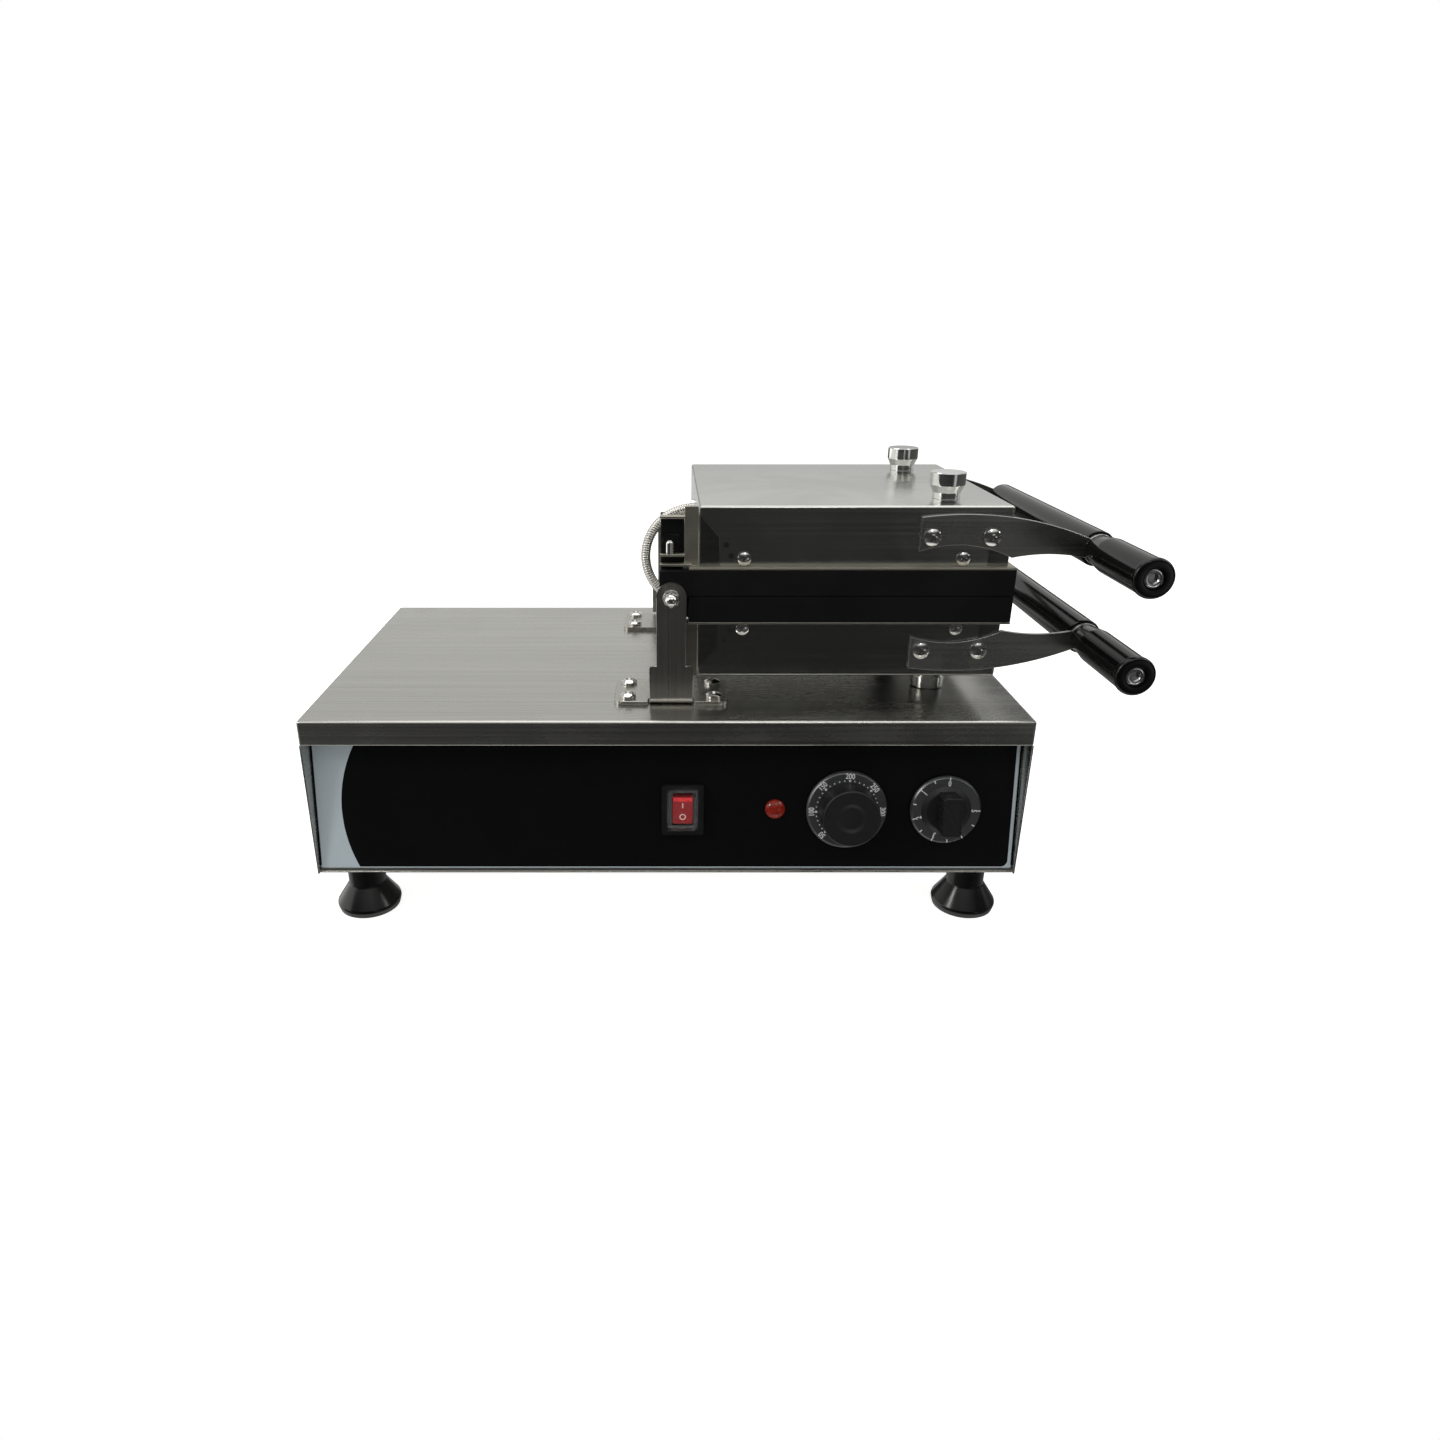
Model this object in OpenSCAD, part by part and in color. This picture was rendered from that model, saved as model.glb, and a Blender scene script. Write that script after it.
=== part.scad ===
// Turn-over waffle cone maker: two hinged cast plates over a long steel base.
// Millimetres, +X to the operator's right, +Y to the rear, +Z up. The modules draw
// in the base's frame, with its origin on the floor under the middle of the base;
// placed() then centres the whole machine over the origin.

/* [Base] */
// Width of the base from side to side
base_w = 530; // [520:1:640]
// Depth of the base from front to back
base_d = 303; // [300:1:380]
// Height of the base body above its feet
body_h = 125; // [120:1:160]
// Height of the lip around the top sheet
lip_h = 19; // [14:1:26]
// Thickness of the base sheets
sheet_t = 1.5; // [1:0.1:2]
// Width of the fold at the edges of the side panels
fold_w = 14; // [10:1:20]
// Length of each cooling slot
slot_l = 46; // [20:1:60]
// Width of each cooling slot
slot_w = 4; // [2:0.5:6]
// Number of cooling slots in a row
slot_count = 9; // [3:1:12]

/* [Feet] */
// Height of the feet
foot_h = 43; // [34:1:60]
// Diameter of a foot at the floor
foot_dia = 49; // [40:1:56]
// Diameter of a foot's neck
foot_neck_dia = 28.5; // [24:0.5:34]
// Distance of the foot centre from the side of the base
foot_in_x = 28; // [28:0.5:60]
// Distance of the foot centre from the front or back of the base
foot_in_y = 27.5; // [26:0.5:60]
// Diameter of the foot stud
stud_dia = 8; // [6:1:10]

/* [Control panel] */
// Thickness of the control panel sheet
panel_t = 1.2; // [0.8:0.1:2]
// Set-back of the panel at its top, behind the lip's front
panel_top_in = 19; // [10:1:30]
// Set-back of the panel at its foot
panel_foot_in = 3; // [2.5:0.5:8]
// Thickness of the printed film on the panel
film_t = 0.4; // [0.2:0.1:0.8]
// Place of the power switch across the panel
switch_x = 12.3; // [-60:0.5:50]
// Place of the heat lamp across the panel
lamp_x = 81.6; // [75:0.5:90]
// Place of the temperature knob across the panel
dial_x = 135; // [130:0.5:145]
// Place of the timer knob across the panel
timer_x = 209; // [205:0.5:225]
// Height of the controls up the panel
control_up = 50.8; // [44:0.2:60]
// Width of the switch bezel
switch_w = 31.4; // [28:0.2:34]
// Height of the switch bezel
switch_h = 38.8; // [36:0.2:42]
// Thickness of the switch bezel
switch_bezel_t = 4; // [3:0.5:5]
// Angle of the rocker from the middle to either side
rocker_tilt = 10; // [6:1:12]
// Diameter of the lamp lens
lamp_dia = 15; // [12:0.5:18]
// Diameter of the temperature dial's skirt
dial_dia = 60.5; // [56:0.5:64]
// Diameter of the temperature knob's cap
dial_cap_dia = 43; // [38:0.5:46]
// Height of the temperature knob above the panel
dial_h = 25; // [20:0.5:30]
// Diameter of the timer dial's skirt
timer_dia = 53; // [46:0.5:56]
// Width of the timer's grip bar
timer_bar_w = 14; // [11:0.5:17]
// Height of the timer knob above the panel
timer_h = 23; // [18:0.5:28]
// Diameter of the control shafts
shaft_dia = 6; // [5:0.5:8]

/* [Hinge] */
// Distance of the hinge line from the middle of the base
hinge_x = 3.5; // [-6:0.5:6]
// Height of the hinge line above the base top
hinge_h = 82; // [78:0.5:96]
// Width of the bracket foot
bracket_w = 84.5; // [80:0.5:100]
// Depth of the bracket foot
bracket_d = 49; // [44:0.5:60]
// Thickness of the bracket sheet
bracket_t = 3; // [2:0.5:4]
// Width of the upright's lower part
upright_w = 32; // [28:0.5:40]
// Height of the upright's lower part above the base
upright_step_h = 30.5; // [24:0.5:40]
// Width of the upright's neck
neck_w = 21.6; // [20:0.2:24]
// Spacing of the bracket screws from side to side
bracket_pitch_x = 64.4; // [60:0.2:68]
// Spacing of the bracket screws from front to back
bracket_pitch_y = 30; // [24:0.5:34]
// Diameter of the hinge bolts
pivot_dia = 6; // [5:0.5:8]
// Thickness of each hinge lug
lug_t = 11.9; // [9:0.1:14]
// Radius of the round end of a hinge lug
lug_r = 8.5; // [7.5:0.1:9.5]

/* [Iron halves] */
// Length of a cast plate, away from the hinge
plate_l = 232.5; // [226:0.5:236]
// Depth of a cast plate, front to back
plate_d = 231; // [224:1:236]
// Thickness of a cast plate
plate_t = 19.2; // [16:0.2:22]
// Distance from the hinge line to the edge of the plates
plate_start = 12.6; // [11.5:0.1:14]
// Gap between the closed plates
plate_gap = 0.5; // [0.3:0.1:1]
// Diameter of the baking field
field_dia = 205; // [180:1:212]
// Depth of the baking field
field_deep = 2.4; // [1.5:0.1:4]
// Spacing of the waffle squares
waffle_pitch = 13; // [11:0.5:20]
// Thickness of the mounting sheet on a plate
mount_t = 1.5; // [1:0.1:2]
// Thickness of the cover sheets
cover_t = 1.5; // [1:0.1:2]
// Distance from the hinge line to the cover
cover_start = 19.5; // [18.5:0.1:22]
// Length of a cover
cover_l = 221.6; // [216:0.2:224]
// Depth of a cover, front to back
cover_d = 216; // [210:0.5:217]
// Height of a cover's top above the hinge line
cover_h = 63; // [58:0.5:66]
// Gap between the insulation blanket and the cover's walls
blanket_in = 8; // [7.5:0.5:15]
// Diameter of the heating tube
heater_dia = 7; // [6:0.5:8]
// Height of the hinge block on each half
block_h = 53.5; // [48:0.5:56]
// Diameter of the stop pin
pin_dia = 5.4; // [4:0.2:6]

/* [Handles] */
// Distance from the hinge line to the handles
handle_x = 303; // [290:0.5:320]
// Height of the handles from the plate joint
handle_up = 32.6; // [30:0.2:35]
// Thickness of the handle arms
arm_t = 3; // [2:0.5:4]
// Diameter of the grips
grip_dia = 25.5; // [23:0.5:29]
// Diameter of the front grip's neck
grip_neck_dia = 21.5; // [18:0.5:22]
// Length of the front grip
front_grip_l = 85; // [70:1:110]
// Diameter of the handle bolt
rod_dia = 8; // [6:0.5:9]
// Diameter of the handle bolt's head
rod_head_dia = 13; // [12:0.5:15]

/* [Posts] */
// Distance from the hinge line to the posts
post_x = 201; // [180:1:215]
// Spacing of the posts from front to back
post_pitch = 146; // [120:1:160]
// Diameter of a post's body
post_dia = 20.4; // [16:0.2:22]
// Diameter of a post's head
post_head_dia = 25.5; // [23:0.5:30]
// Height of a post's head
post_head_h = 9; // [6:0.5:11]

/* [Fasteners and conduits] */
// Thread diameter of the bracket and arm screws
screw_dia = 6; // [5:0.5:6]
// Head diameter of the bracket and arm screws
screw_head_dia = 12; // [10.5:0.5:12.5]
// Thread diameter of the cover screws
small_dia = 5; // [4:0.5:5]
// Head diameter of the cover screws
small_head_dia = 9.5; // [8:0.5:10]
// Outside diameter of the steel conduits
conduit_dia = 8; // [6:0.5:9]
// Radius of the conduit loop at the hinge
loop_r = 40; // [36:0.5:42]
// Place of the conduit loop behind the middle
loop_y = 15; // [15:0.5:20]

/* [Hidden] */

fine = 48;          // smoothness of round pieces
eps = 0.01;         // overlap of joined shapes
cut = 1;            // how far a cutter reaches past a face
seat = 0.05;        // gap between pieces that lie on each other
slack = 0.3;        // gap between sheets that stand beside each other
run = 0.1;          // radial running clearance at shafts and hinge bolts
hole_slack = 0.2;   // radial clearance of a screw in its hole

top_z = foot_h + body_h;
lip_z = top_z - lip_h;
floor_z = foot_h + sheet_t;
pivot_z = top_z + hinge_h;
front_y = -base_d / 2;
foot_x = base_w / 2 - foot_in_x;
foot_y = base_d / 2 - foot_in_y;
inner_x = base_w / 2 - sheet_t;
panel_tilt = atan((panel_top_in - panel_foot_in) / (body_h - lip_h));
case_screw_dia = 4;
case_head_dia = 7;
case_head_t = 2.2;
case_inset = 8;
rear_screw_up = 22;

// hinge stack, counted from the outside towards the middle of the depth
washer_t = 0.9;
lug_gap = 0.3;
lug_out = 7.5;
lug_out_y = cover_d / 2 + lug_out;
upright_in_y = lug_out_y + washer_t + 2 * seat;
upright_out_y = upright_in_y + bracket_t;
lug_mid_y = lug_out_y - lug_t;
lug_in_y = lug_mid_y - lug_gap - lug_t;
bend_in_r = bracket_t;
bend_out_r = 2 * bracket_t;
bracket_in_y = upright_out_y - bracket_d;
bracket_mid_y = upright_out_y - bracket_d / 2;
out_washer_t = 1.5;
nut_t = 5;
nut_across = 10;
bolt_head_t = 4;

// heights in an iron half, counted from the joint between the plates
sheet_w0 = plate_t + seat;
cover_w0 = sheet_w0 + mount_t + seat;
post_end = hinge_h - 0.2;
lug_top = plate_t - 0.5;
ledge_t = 1.8;
ledge_a_top = 56.6;
ledge_b_top = 29.6;
ledge_c_top = 22.6;
ledge_end = -8.1;
ledge_out = 4;
spine_start = 9;
block_start = -7.4;
block_y0 = cover_d / 2 - cover_t - ledge_t;
block_deep = 12.5;
arm_y = cover_d / 2 + seat;
arm_out_y = arm_y + arm_t;
screw_a_x = 183.6;
screw_b_x = 225.6;
arm_screw_up = 41.8;
cover_screw_x = [52, 208];
cover_screw_up = cover_w0 + small_head_dia / 2 + hole_slack;
tab_w = 16;
tab_h = 12;

// conduit from the base to the lower half
feed_x = -4;
feed_bracket_gap = 4.5;
feed_y = -(bracket_in_y - feed_bracket_gap - conduit_dia / 2);
feed_loop_pitch = 21.5;
feed_wall_y = loop_y - feed_loop_pitch;
feed_turn_r = cover_start - feed_x;
feed_run = feed_wall_y - feed_y - feed_turn_r;
feed_bend_r = 32;
feed_rise_r = min(feed_bend_r, feed_run);
feed_up = 41;
feed_in = 20;
tail_l = 6;

// ---------------------------------------------------------------- helpers

// Centres a piece of the base's frame over the machine's own origin
module placed() { translate([-mid_x, -mid_y, 0]) children(); }

// Box from its lowest to its highest corner
module box(a, b) { translate(a) cube(b - a); }

// Round bar or bore along Y, from y0 to y1
module bar_y(x, z, y0, y1, d) {
    translate([x, y0, z]) rotate([-90, 0, 0]) cylinder(h = y1 - y0, d = d, $fn = fine);
}

// The same child at the front and, mirrored, at the rear
module front_and_rear() {
    children();
    mirror([0, 1, 0]) children();
}

// A child in the frame of the control panel: x across, y up, z out of its face
module on_panel(x, up) {
    translate([0, front_y + panel_foot_in, foot_h]) rotate([-panel_tilt, 0, 0])
        translate([x, 0, up]) rotate([90, 0, 0]) children();
}

// A child of the upper half, in the hinge line's frame
module upper_half() { translate([hinge_x, 0, pivot_z]) children(); }

// A child of the lower half: the upper half's shape mirrored in the plate joint
module lower_half() { translate([hinge_x, 0, pivot_z]) mirror([0, 0, 1]) children(); }

// Rectangle with round corners, centred
module round_rect(w, h, r) {
    for (sx = [-1, 1], sy = [-1, 1]) translate([sx * (w / 2 - r), sy * (h / 2 - r)])
        circle(r = r, $fn = fine);
    square([w - 2 * r, h], center = true);
    square([w, h - 2 * r], center = true);
}

// Pan-head cross screw: head above z = 0, thread below
module pan_screw(d, head_d, head_h, len) {
    difference() {
        rotate_extrude($fn = fine) intersection() {
            translate([0, head_h - head_d * 0.9]) circle(r = head_d * 0.9, $fn = 96);
            square([head_d / 2, head_h]);
        }
        for (a = [0, 90]) rotate(a) translate([0, 0, head_h - 0.6])
            cube([head_d * 0.56, head_d * 0.13, 2.4], center = true);
    }
    translate([0, 0, -len]) cylinder(h = len + eps, d = d, $fn = fine);
}

// Hexagonal prism of a given width across its flats
module hexagon(across, h) { cylinder(h = h, d = across / cos(30), $fn = 6); }

// ------------------------------------------------------------------ base

module bracket_screw_places() {
    for (sx = [-1, 1], sy = [-1, 1], side = [-1, 1])
        translate([hinge_x + sx * bracket_pitch_x / 2,
            side * bracket_mid_y + sy * bracket_pitch_y / 2, 0]) children();
}

module base_top() {
    color("silver") difference() {
        box([-base_w / 2, front_y, lip_z], [base_w / 2, base_d / 2, top_z]);
        box([-inner_x, front_y + sheet_t, lip_z - cut],
            [inner_x, base_d / 2 - sheet_t, top_z - sheet_t]);
        bracket_screw_places() translate([0, 0, top_z - sheet_t - cut])
            cylinder(h = sheet_t + 2 * cut, r = screw_dia / 2 + hole_slack, $fn = fine);
        translate([hinge_x + feed_x, feed_y, top_z - sheet_t - cut])
            cylinder(h = sheet_t + 2 * cut, r = conduit_dia / 2 + hole_slack, $fn = fine);
    }
}

// Right side panel: wall flush with the lip, folded in at the top, bottom and rear
module side_panel() {
    wall_x = inner_x - eps;
    box([inner_x, front_y, foot_h], [base_w / 2, base_d / 2, lip_z - seat]);
    box([inner_x - sheet_t - run, front_y + panel_top_in + fold_w, lip_z - fold_w],
        [wall_x + 2 * eps, base_d / 2 - 3 * sheet_t, lip_z - slack]);
    box([inner_x - sheet_t - run, front_y + panel_top_in + fold_w, lip_z - fold_w],
        [inner_x - run, base_d / 2 - 3 * sheet_t, top_z - sheet_t - slack]);
    difference() {
        box([inner_x - fold_w, front_y + panel_foot_in + fold_w + 2 * sheet_t, floor_z + seat],
            [wall_x + 2 * eps, base_d / 2 - 3 * sheet_t, floor_z + sheet_t]);
        case_floor_places() translate([0, 0, foot_h - cut])
            cylinder(h = 3 * sheet_t + 2 * cut, d = case_screw_dia + 2 * hole_slack, $fn = fine);
    }
    difference() {
        box([inner_x - fold_w, base_d / 2 - 2 * sheet_t - seat, floor_z + slack],
            [wall_x + 2 * eps, base_d / 2 - sheet_t - seat, lip_z - slack]);
        case_rear_places() rotate([90, 0, 0]) translate([0, 0, -cut])
            cylinder(h = 3 * sheet_t + 2 * cut, d = case_screw_dia + 2 * hole_slack, $fn = fine);
    }
}

// Places of the screws that hold the floor, on the right side panel's bottom fold
module case_floor_places() {
    for (y = [-base_d / 4, base_d / 4]) translate([inner_x - case_inset, y, 0]) children();
}

// Places of the screws that hold the rear panel, on its outer face
module case_rear_places() {
    for (z = [foot_h + rear_screw_up, lip_z - rear_screw_up])
        translate([inner_x - case_inset, base_d / 2, z]) children();
}

module right_side_panel() { color("silver") side_panel(); }

module left_side_panel() { color("silver") mirror([1, 0, 0]) side_panel(); }

module rear_panel() {
    color("silver") difference() {
        box([-inner_x + slack, base_d / 2 - sheet_t, floor_z + slack],
            [inner_x - slack, base_d / 2, lip_z - slack]);
        for (side = [0, 1]) mirror([side, 0, 0]) case_rear_places()
            rotate([90, 0, 0]) translate([0, 0, -cut])
            cylinder(h = sheet_t + 2 * cut, d = case_screw_dia + 2 * hole_slack, $fn = fine);
        translate([gland_x, base_d / 2 + cut, gland_z]) rotate([90, 0, 0])
            cylinder(h = sheet_t + 2 * cut, d = gland_thread_dia + 2 * hole_slack, $fn = fine);
        for (i = [0 : slot_count - 1])
            translate([slot_x(i), base_d / 2 + cut, (floor_z + lip_z) / 2])
            rotate([90, 0, 0]) linear_extrude(sheet_t + 2 * cut) slot_outline();
    }
}

slot_pitch = 3.5 * slot_w;
function slot_x(i) = (i - (slot_count - 1) / 2) * slot_pitch;

module slot_outline() {
    for (s = [-1, 1]) translate([0, s * (slot_l - slot_w) / 2]) circle(d = slot_w, $fn = fine);
    square([slot_w, slot_l - slot_w], center = true);
}

module bottom_plate() {
    color("silver") difference() {
        box([-inner_x + slack, front_y + panel_foot_in - sheet_t, foot_h],
            [inner_x - slack, base_d / 2 - sheet_t / 2, floor_z]);
        foot_places() translate([0, 0, foot_h - cut])
            cylinder(h = sheet_t + 2 * cut, d = stud_dia + 2 * hole_slack, $fn = fine);
        for (side = [0, 1]) mirror([side, 0, 0]) case_floor_places()
            translate([0, 0, foot_h - cut])
            cylinder(h = sheet_t + 2 * cut, d = case_screw_dia + 2 * hole_slack, $fn = fine);
        for (i = [0 : slot_count - 1]) translate([slot_x(i), 0, foot_h - cut])
            linear_extrude(sheet_t + 2 * cut) slot_outline();
    }
}

module case_screws() {
    color("gainsboro") for (side = [0, 1]) mirror([side, 0, 0]) {
        case_floor_places() translate([0, 0, foot_h - seat]) rotate([180, 0, 0])
            pan_screw(case_screw_dia, case_head_dia, case_head_t, 3 * sheet_t);
        case_rear_places() translate([0, seat, 0]) rotate([-90, 0, 0])
            pan_screw(case_screw_dia, case_head_dia, case_head_t, 3 * sheet_t);
    }
}

// ------------------------------------------------------------------ feet

module foot_places() {
    for (sx = [-1, 1], sy = [-1, 1]) translate([sx * foot_x, sy * foot_y, 0]) children();
}

foot_rim_h = 6;
foot_neck_h = 21.5;
stud_deep = 22;
stud_nut_t = 6.5;
stud_nut_across = 13;

module feet() {
    color("#151515") foot_places() rotate_extrude($fn = 64) difference() {
        polygon([[0, 0], [foot_dia / 2 - 1.2, 0], [foot_dia / 2, foot_rim_h - 1],
            [foot_dia / 2 - 0.4, foot_rim_h + 1], [foot_neck_dia / 2 + 0.6, foot_h - foot_neck_h],
            [foot_neck_dia / 2, foot_h - foot_neck_h + 0.8], [foot_neck_dia / 2, foot_h - seat],
            [0, foot_h - seat]]);
        translate([0, foot_h - stud_deep]) square([stud_dia / 2 + seat, stud_deep + cut]);
    }
}

module foot_studs() {
    color("gainsboro") foot_places() {
        translate([0, 0, foot_h - stud_deep + seat])
            cylinder(h = stud_deep + sheet_t + stud_nut_t + 3, d = stud_dia, $fn = fine);
        translate([0, 0, floor_z + seat]) hexagon(stud_nut_across, stud_nut_t);
    }
}

// --------------------------------------------------------- control panel

switch_hole = [22.4, 30.4];
lamp_hole_dia = 10.2;
bush_dia = 10;
bush_hole_dia = bush_dia + 2 * hole_slack;

// Holes for the controls, as a flat outline in the panel's frame
module control_holes() {
    translate([switch_x, control_up]) square(switch_hole, center = true);
    translate([lamp_x, control_up]) circle(d = lamp_hole_dia, $fn = fine);
    for (x = [dial_x, timer_x]) translate([x, control_up]) circle(d = bush_hole_dia, $fn = fine);
}

panel_tuck = 8;     // how far the panel reaches up behind the lip

// Outer face of the sloping panel at a height
function panel_y(z) = front_y + panel_foot_in + (z - foot_h) * tan(panel_tilt);

module control_panel() {
    z0 = floor_z + slack;
    z1 = lip_z + panel_tuck;
    wall = panel_t / cos(panel_tilt);
    flange_y = front_y + panel_foot_in + 1 + fold_w;
    color("dimgray") difference() {
        translate([-inner_x + slack, 0, 0]) rotate([90, 0, 90])
            linear_extrude(2 * (inner_x - slack)) polygon([[panel_y(z0), z0],
                [panel_y(z1), z1], [panel_y(z1) + wall, z1],
                [panel_y(z0 + panel_t) + wall, z0 + panel_t],
                [flange_y, z0 + panel_t], [flange_y, z0]]);
        on_panel(0, 0) translate([0, 0, -panel_t - cut])
            linear_extrude(panel_t + 2 * cut) control_holes();
    }
}

film_foot = 3.5;
film_edge = 3.5;

module panel_film() {
    color("#101010") on_panel(0, 0) translate([0, 0, eps]) linear_extrude(film_t - eps)
        difference() {
        translate([-inner_x + slack, film_foot]) square([2 * (inner_x - slack) - film_edge,
            (body_h - lip_h) / cos(panel_tilt) - film_foot]);
        control_holes();
    }
}

pocket = [16, 24.6];
pocket_deep = 8;
switch_body_deep = 24;
rocker_w = 15.2;
rocker_l = 22.6;
rocker_z = film_t + switch_bezel_t / 2;
rocker_pin_dia = 1.2;
rocker_pin_out = 1;

module switch_body() {
    color("#181818") on_panel(switch_x, control_up) difference() {
        union() {
            translate([0, 0, -switch_body_deep]) linear_extrude(switch_body_deep + film_t + eps)
                square(switch_hole - [0.4, 0.4], center = true);
            translate([0, 0, film_t]) linear_extrude(switch_bezel_t)
                round_rect(switch_w, switch_h, 2);
            for (x = [-5, 5], y = [-9, 9]) translate([x, y, -switch_body_deep - 4])
                cube([0.8, 6.3, 8.1], center = true);
        }
        translate([0, 0, rocker_z - pocket_deep]) linear_extrude(pocket_deep + switch_bezel_t)
            square(pocket, center = true);
        translate([0, 0, film_t + switch_bezel_t - boot_seat_deep])
            linear_extrude(boot_seat_deep + cut) square(boot_size + [0.2, 0.2], center = true);
        rocker_pivot(rocker_pin_dia + 2 * run, rocker_pin_out + hole_slack);
    }
}

// Pin through the rocker, or its bearings, reaching past the pocket's walls
module rocker_pivot(d, reach) {
    l = pocket[0] + 2 * reach;
    translate([-l / 2, 0, rocker_z]) rotate([0, 90, 0]) cylinder(h = l, d = d, $fn = fine);
}

boot_size = [22, 30];
boot_seat_deep = 1.2;
boot_t = 0.8;
boot_h = 7.5;

// Clear soft cap over the rocker
module switch_boot() {
    boot_z = film_t + switch_bezel_t - boot_seat_deep + seat;
    color("lightgray", 0.35) on_panel(switch_x, control_up) difference() {
        union() {
            translate([0, 0, boot_z]) linear_extrude(boot_seat_deep) square(boot_size, center = true);
            translate([0, 0, boot_z]) linear_extrude(boot_h)
                round_rect(boot_size[0] - 2, boot_size[1] - 2, 3);
        }
        translate([0, 0, boot_z - cut]) linear_extrude(boot_h - boot_t + cut)
            round_rect(boot_size[0] - 2 - 2 * boot_t, boot_size[1] - 2 - 2 * boot_t, 2.4);
    }
}

// Rocker on its pin, at rest in its off place: the top half stands out
module power_rocker() {
    color("red") on_panel(switch_x, control_up) {
        translate([0, 0, rocker_z]) rotate([rocker_tilt, 0, 0]) rotate([0, 90, 0])
            linear_extrude(rocker_w, center = true) polygon([[-1.6, -rocker_l / 2],
                [4.6, -rocker_l / 2 + 0.8], [4.6, rocker_l / 2 - 0.8], [-1.6, rocker_l / 2],
                [-0.8, 0]]);
        rocker_pivot(rocker_pin_dia, rocker_pin_out);
    }
}

module lamp_housing() {
    color("#202020") on_panel(lamp_x, control_up) {
        translate([0, 0, -24]) cylinder(h = 24 + film_t, d = lamp_hole_dia - 0.3, $fn = fine);
        translate([0, 0, -panel_t - seat - 4]) hexagon(14, 4);
    }
}

module heat_lamp() {
    color("red") on_panel(lamp_x, control_up) translate([0, 0, film_t + seat])
        rotate_extrude($fn = fine) polygon([[0, 0], [lamp_dia / 2, 0], [lamp_dia / 2, 1.6],
            [lamp_dia / 2 - 1.5, 3.4], [lamp_dia / 2 - 3.6, 4.8], [0, 5.4]]);
}

regulator_gap = 2.5;
shaft_in = 9;
shaft_flat = 1.2;
shaft_flat_l = 10;
strap_out = 6;
thermostat_size = [36, 44, 26];
timer_size = [42, 42, 30];

// Regulator behind the panel: case, fixing plate and threaded bush, bored for its shaft
module regulator(size) {
    deep = size[2];
    difference() {
        union() {
            translate([0, 0, -panel_t - regulator_gap - deep])
                linear_extrude(deep) round_rect(size[0], size[1], 3);
            translate([0, 0, -panel_t - regulator_gap - eps])
                linear_extrude(regulator_gap - seat)
                square([size[0] * 0.6, size[1] + 2 * strap_out], center = true);
            translate([0, 0, -panel_t - regulator_gap])
                cylinder(h = panel_t + regulator_gap, d = bush_dia, $fn = fine);
        }
        translate([0, 0, -panel_t - regulator_gap - shaft_in])
            cylinder(h = 2 * shaft_in + panel_t, r = shaft_dia / 2 + run, $fn = fine);
    }
}

// Control shaft that turns with its knob
module control_shaft(top) {
    z0 = -panel_t - regulator_gap - shaft_in + slack;
    difference() {
        translate([0, 0, z0]) cylinder(h = top - z0, d = shaft_dia, $fn = fine);
        translate([-shaft_dia, shaft_dia / 2 - shaft_flat, top - shaft_flat_l])
            cube([2 * shaft_dia, shaft_dia, shaft_flat_l + cut]);
    }
}

knob_gap = 1.2;
skirt_t = 3.2;
knob_wall = 3;
shaft_top_gap = 4;

// Bore of a knob with the flat that its shaft drives
module knob_bore(top) {
    difference() {
        translate([0, 0, -cut]) cylinder(h = top + cut + seat, r = shaft_dia / 2 + seat, $fn = fine);
        translate([-shaft_dia, shaft_dia / 2 - shaft_flat + seat, top - shaft_flat_l])
            cube([2 * shaft_dia, shaft_dia, shaft_flat_l + cut]);
    }
}

module thermostat() {
    color("ivory") on_panel(dial_x, control_up) regulator(thermostat_size);
}

module temperature_shaft() {
    color("silver") on_panel(dial_x, control_up) control_shaft(dial_h - shaft_top_gap);
}

module temperature_knob() {
    r = dial_cap_dia / 2;
    color("#1a1a1a") on_panel(dial_x, control_up) difference() {
        union() {
            translate([0, 0, film_t + knob_gap]) rotate_extrude($fn = 64)
                polygon([[0, 0], [dial_dia / 2, 0], [dial_dia / 2, 1], [dial_dia / 2 - 1.6, skirt_t],
                    [0, skirt_t]]);
            rotate_extrude($fn = 64) polygon([[0, skirt_t], [r, skirt_t], [r - 0.6, dial_h - 2],
                [r - 2.4, dial_h], [r - 5, dial_h], [r - 8, dial_h - 0.9], [0, dial_h - 0.9]]);
        }
        knob_bore(dial_h - shaft_top_gap);
        rotate_extrude($fn = 64) translate([shaft_dia / 2 + knob_wall, 0])
            square([r - shaft_dia / 2 - 2 * knob_wall, dial_h - 6]);
    }
}

module timer() {
    color("ivory") on_panel(timer_x, control_up) regulator(timer_size);
}

module timer_shaft() {
    color("silver") on_panel(timer_x, control_up) control_shaft(timer_h - shaft_top_gap);
}

timer_bar_l = 30;
timer_bar_foot = 4;
timer_boss_out = 4;

module timer_knob() {
    color("#1a1a1a") on_panel(timer_x, control_up) difference() {
        union() {
            translate([0, 0, film_t + knob_gap]) rotate_extrude($fn = 64)
                polygon([[0, 0], [timer_dia / 2, 0], [timer_dia / 2, 1],
                    [timer_dia / 2 - 1.6, skirt_t], [0, skirt_t]]);
            translate([0, 0, skirt_t]) linear_extrude(timer_h - skirt_t)
                round_rect(timer_bar_w, timer_bar_l, 2);
            translate([0, 0, skirt_t]) cylinder(h = timer_bar_foot, d1 = timer_bar_l + 2 * timer_boss_out,
                d2 = timer_bar_l, $fn = 64);
        }
        knob_bore(timer_h - shaft_top_gap);
    }
}

// ------------------------------------------------- inside and rear of base

terminal_size = [70, 22, 18];
terminal_pitch = 13;
terminal_well = 8;

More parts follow.
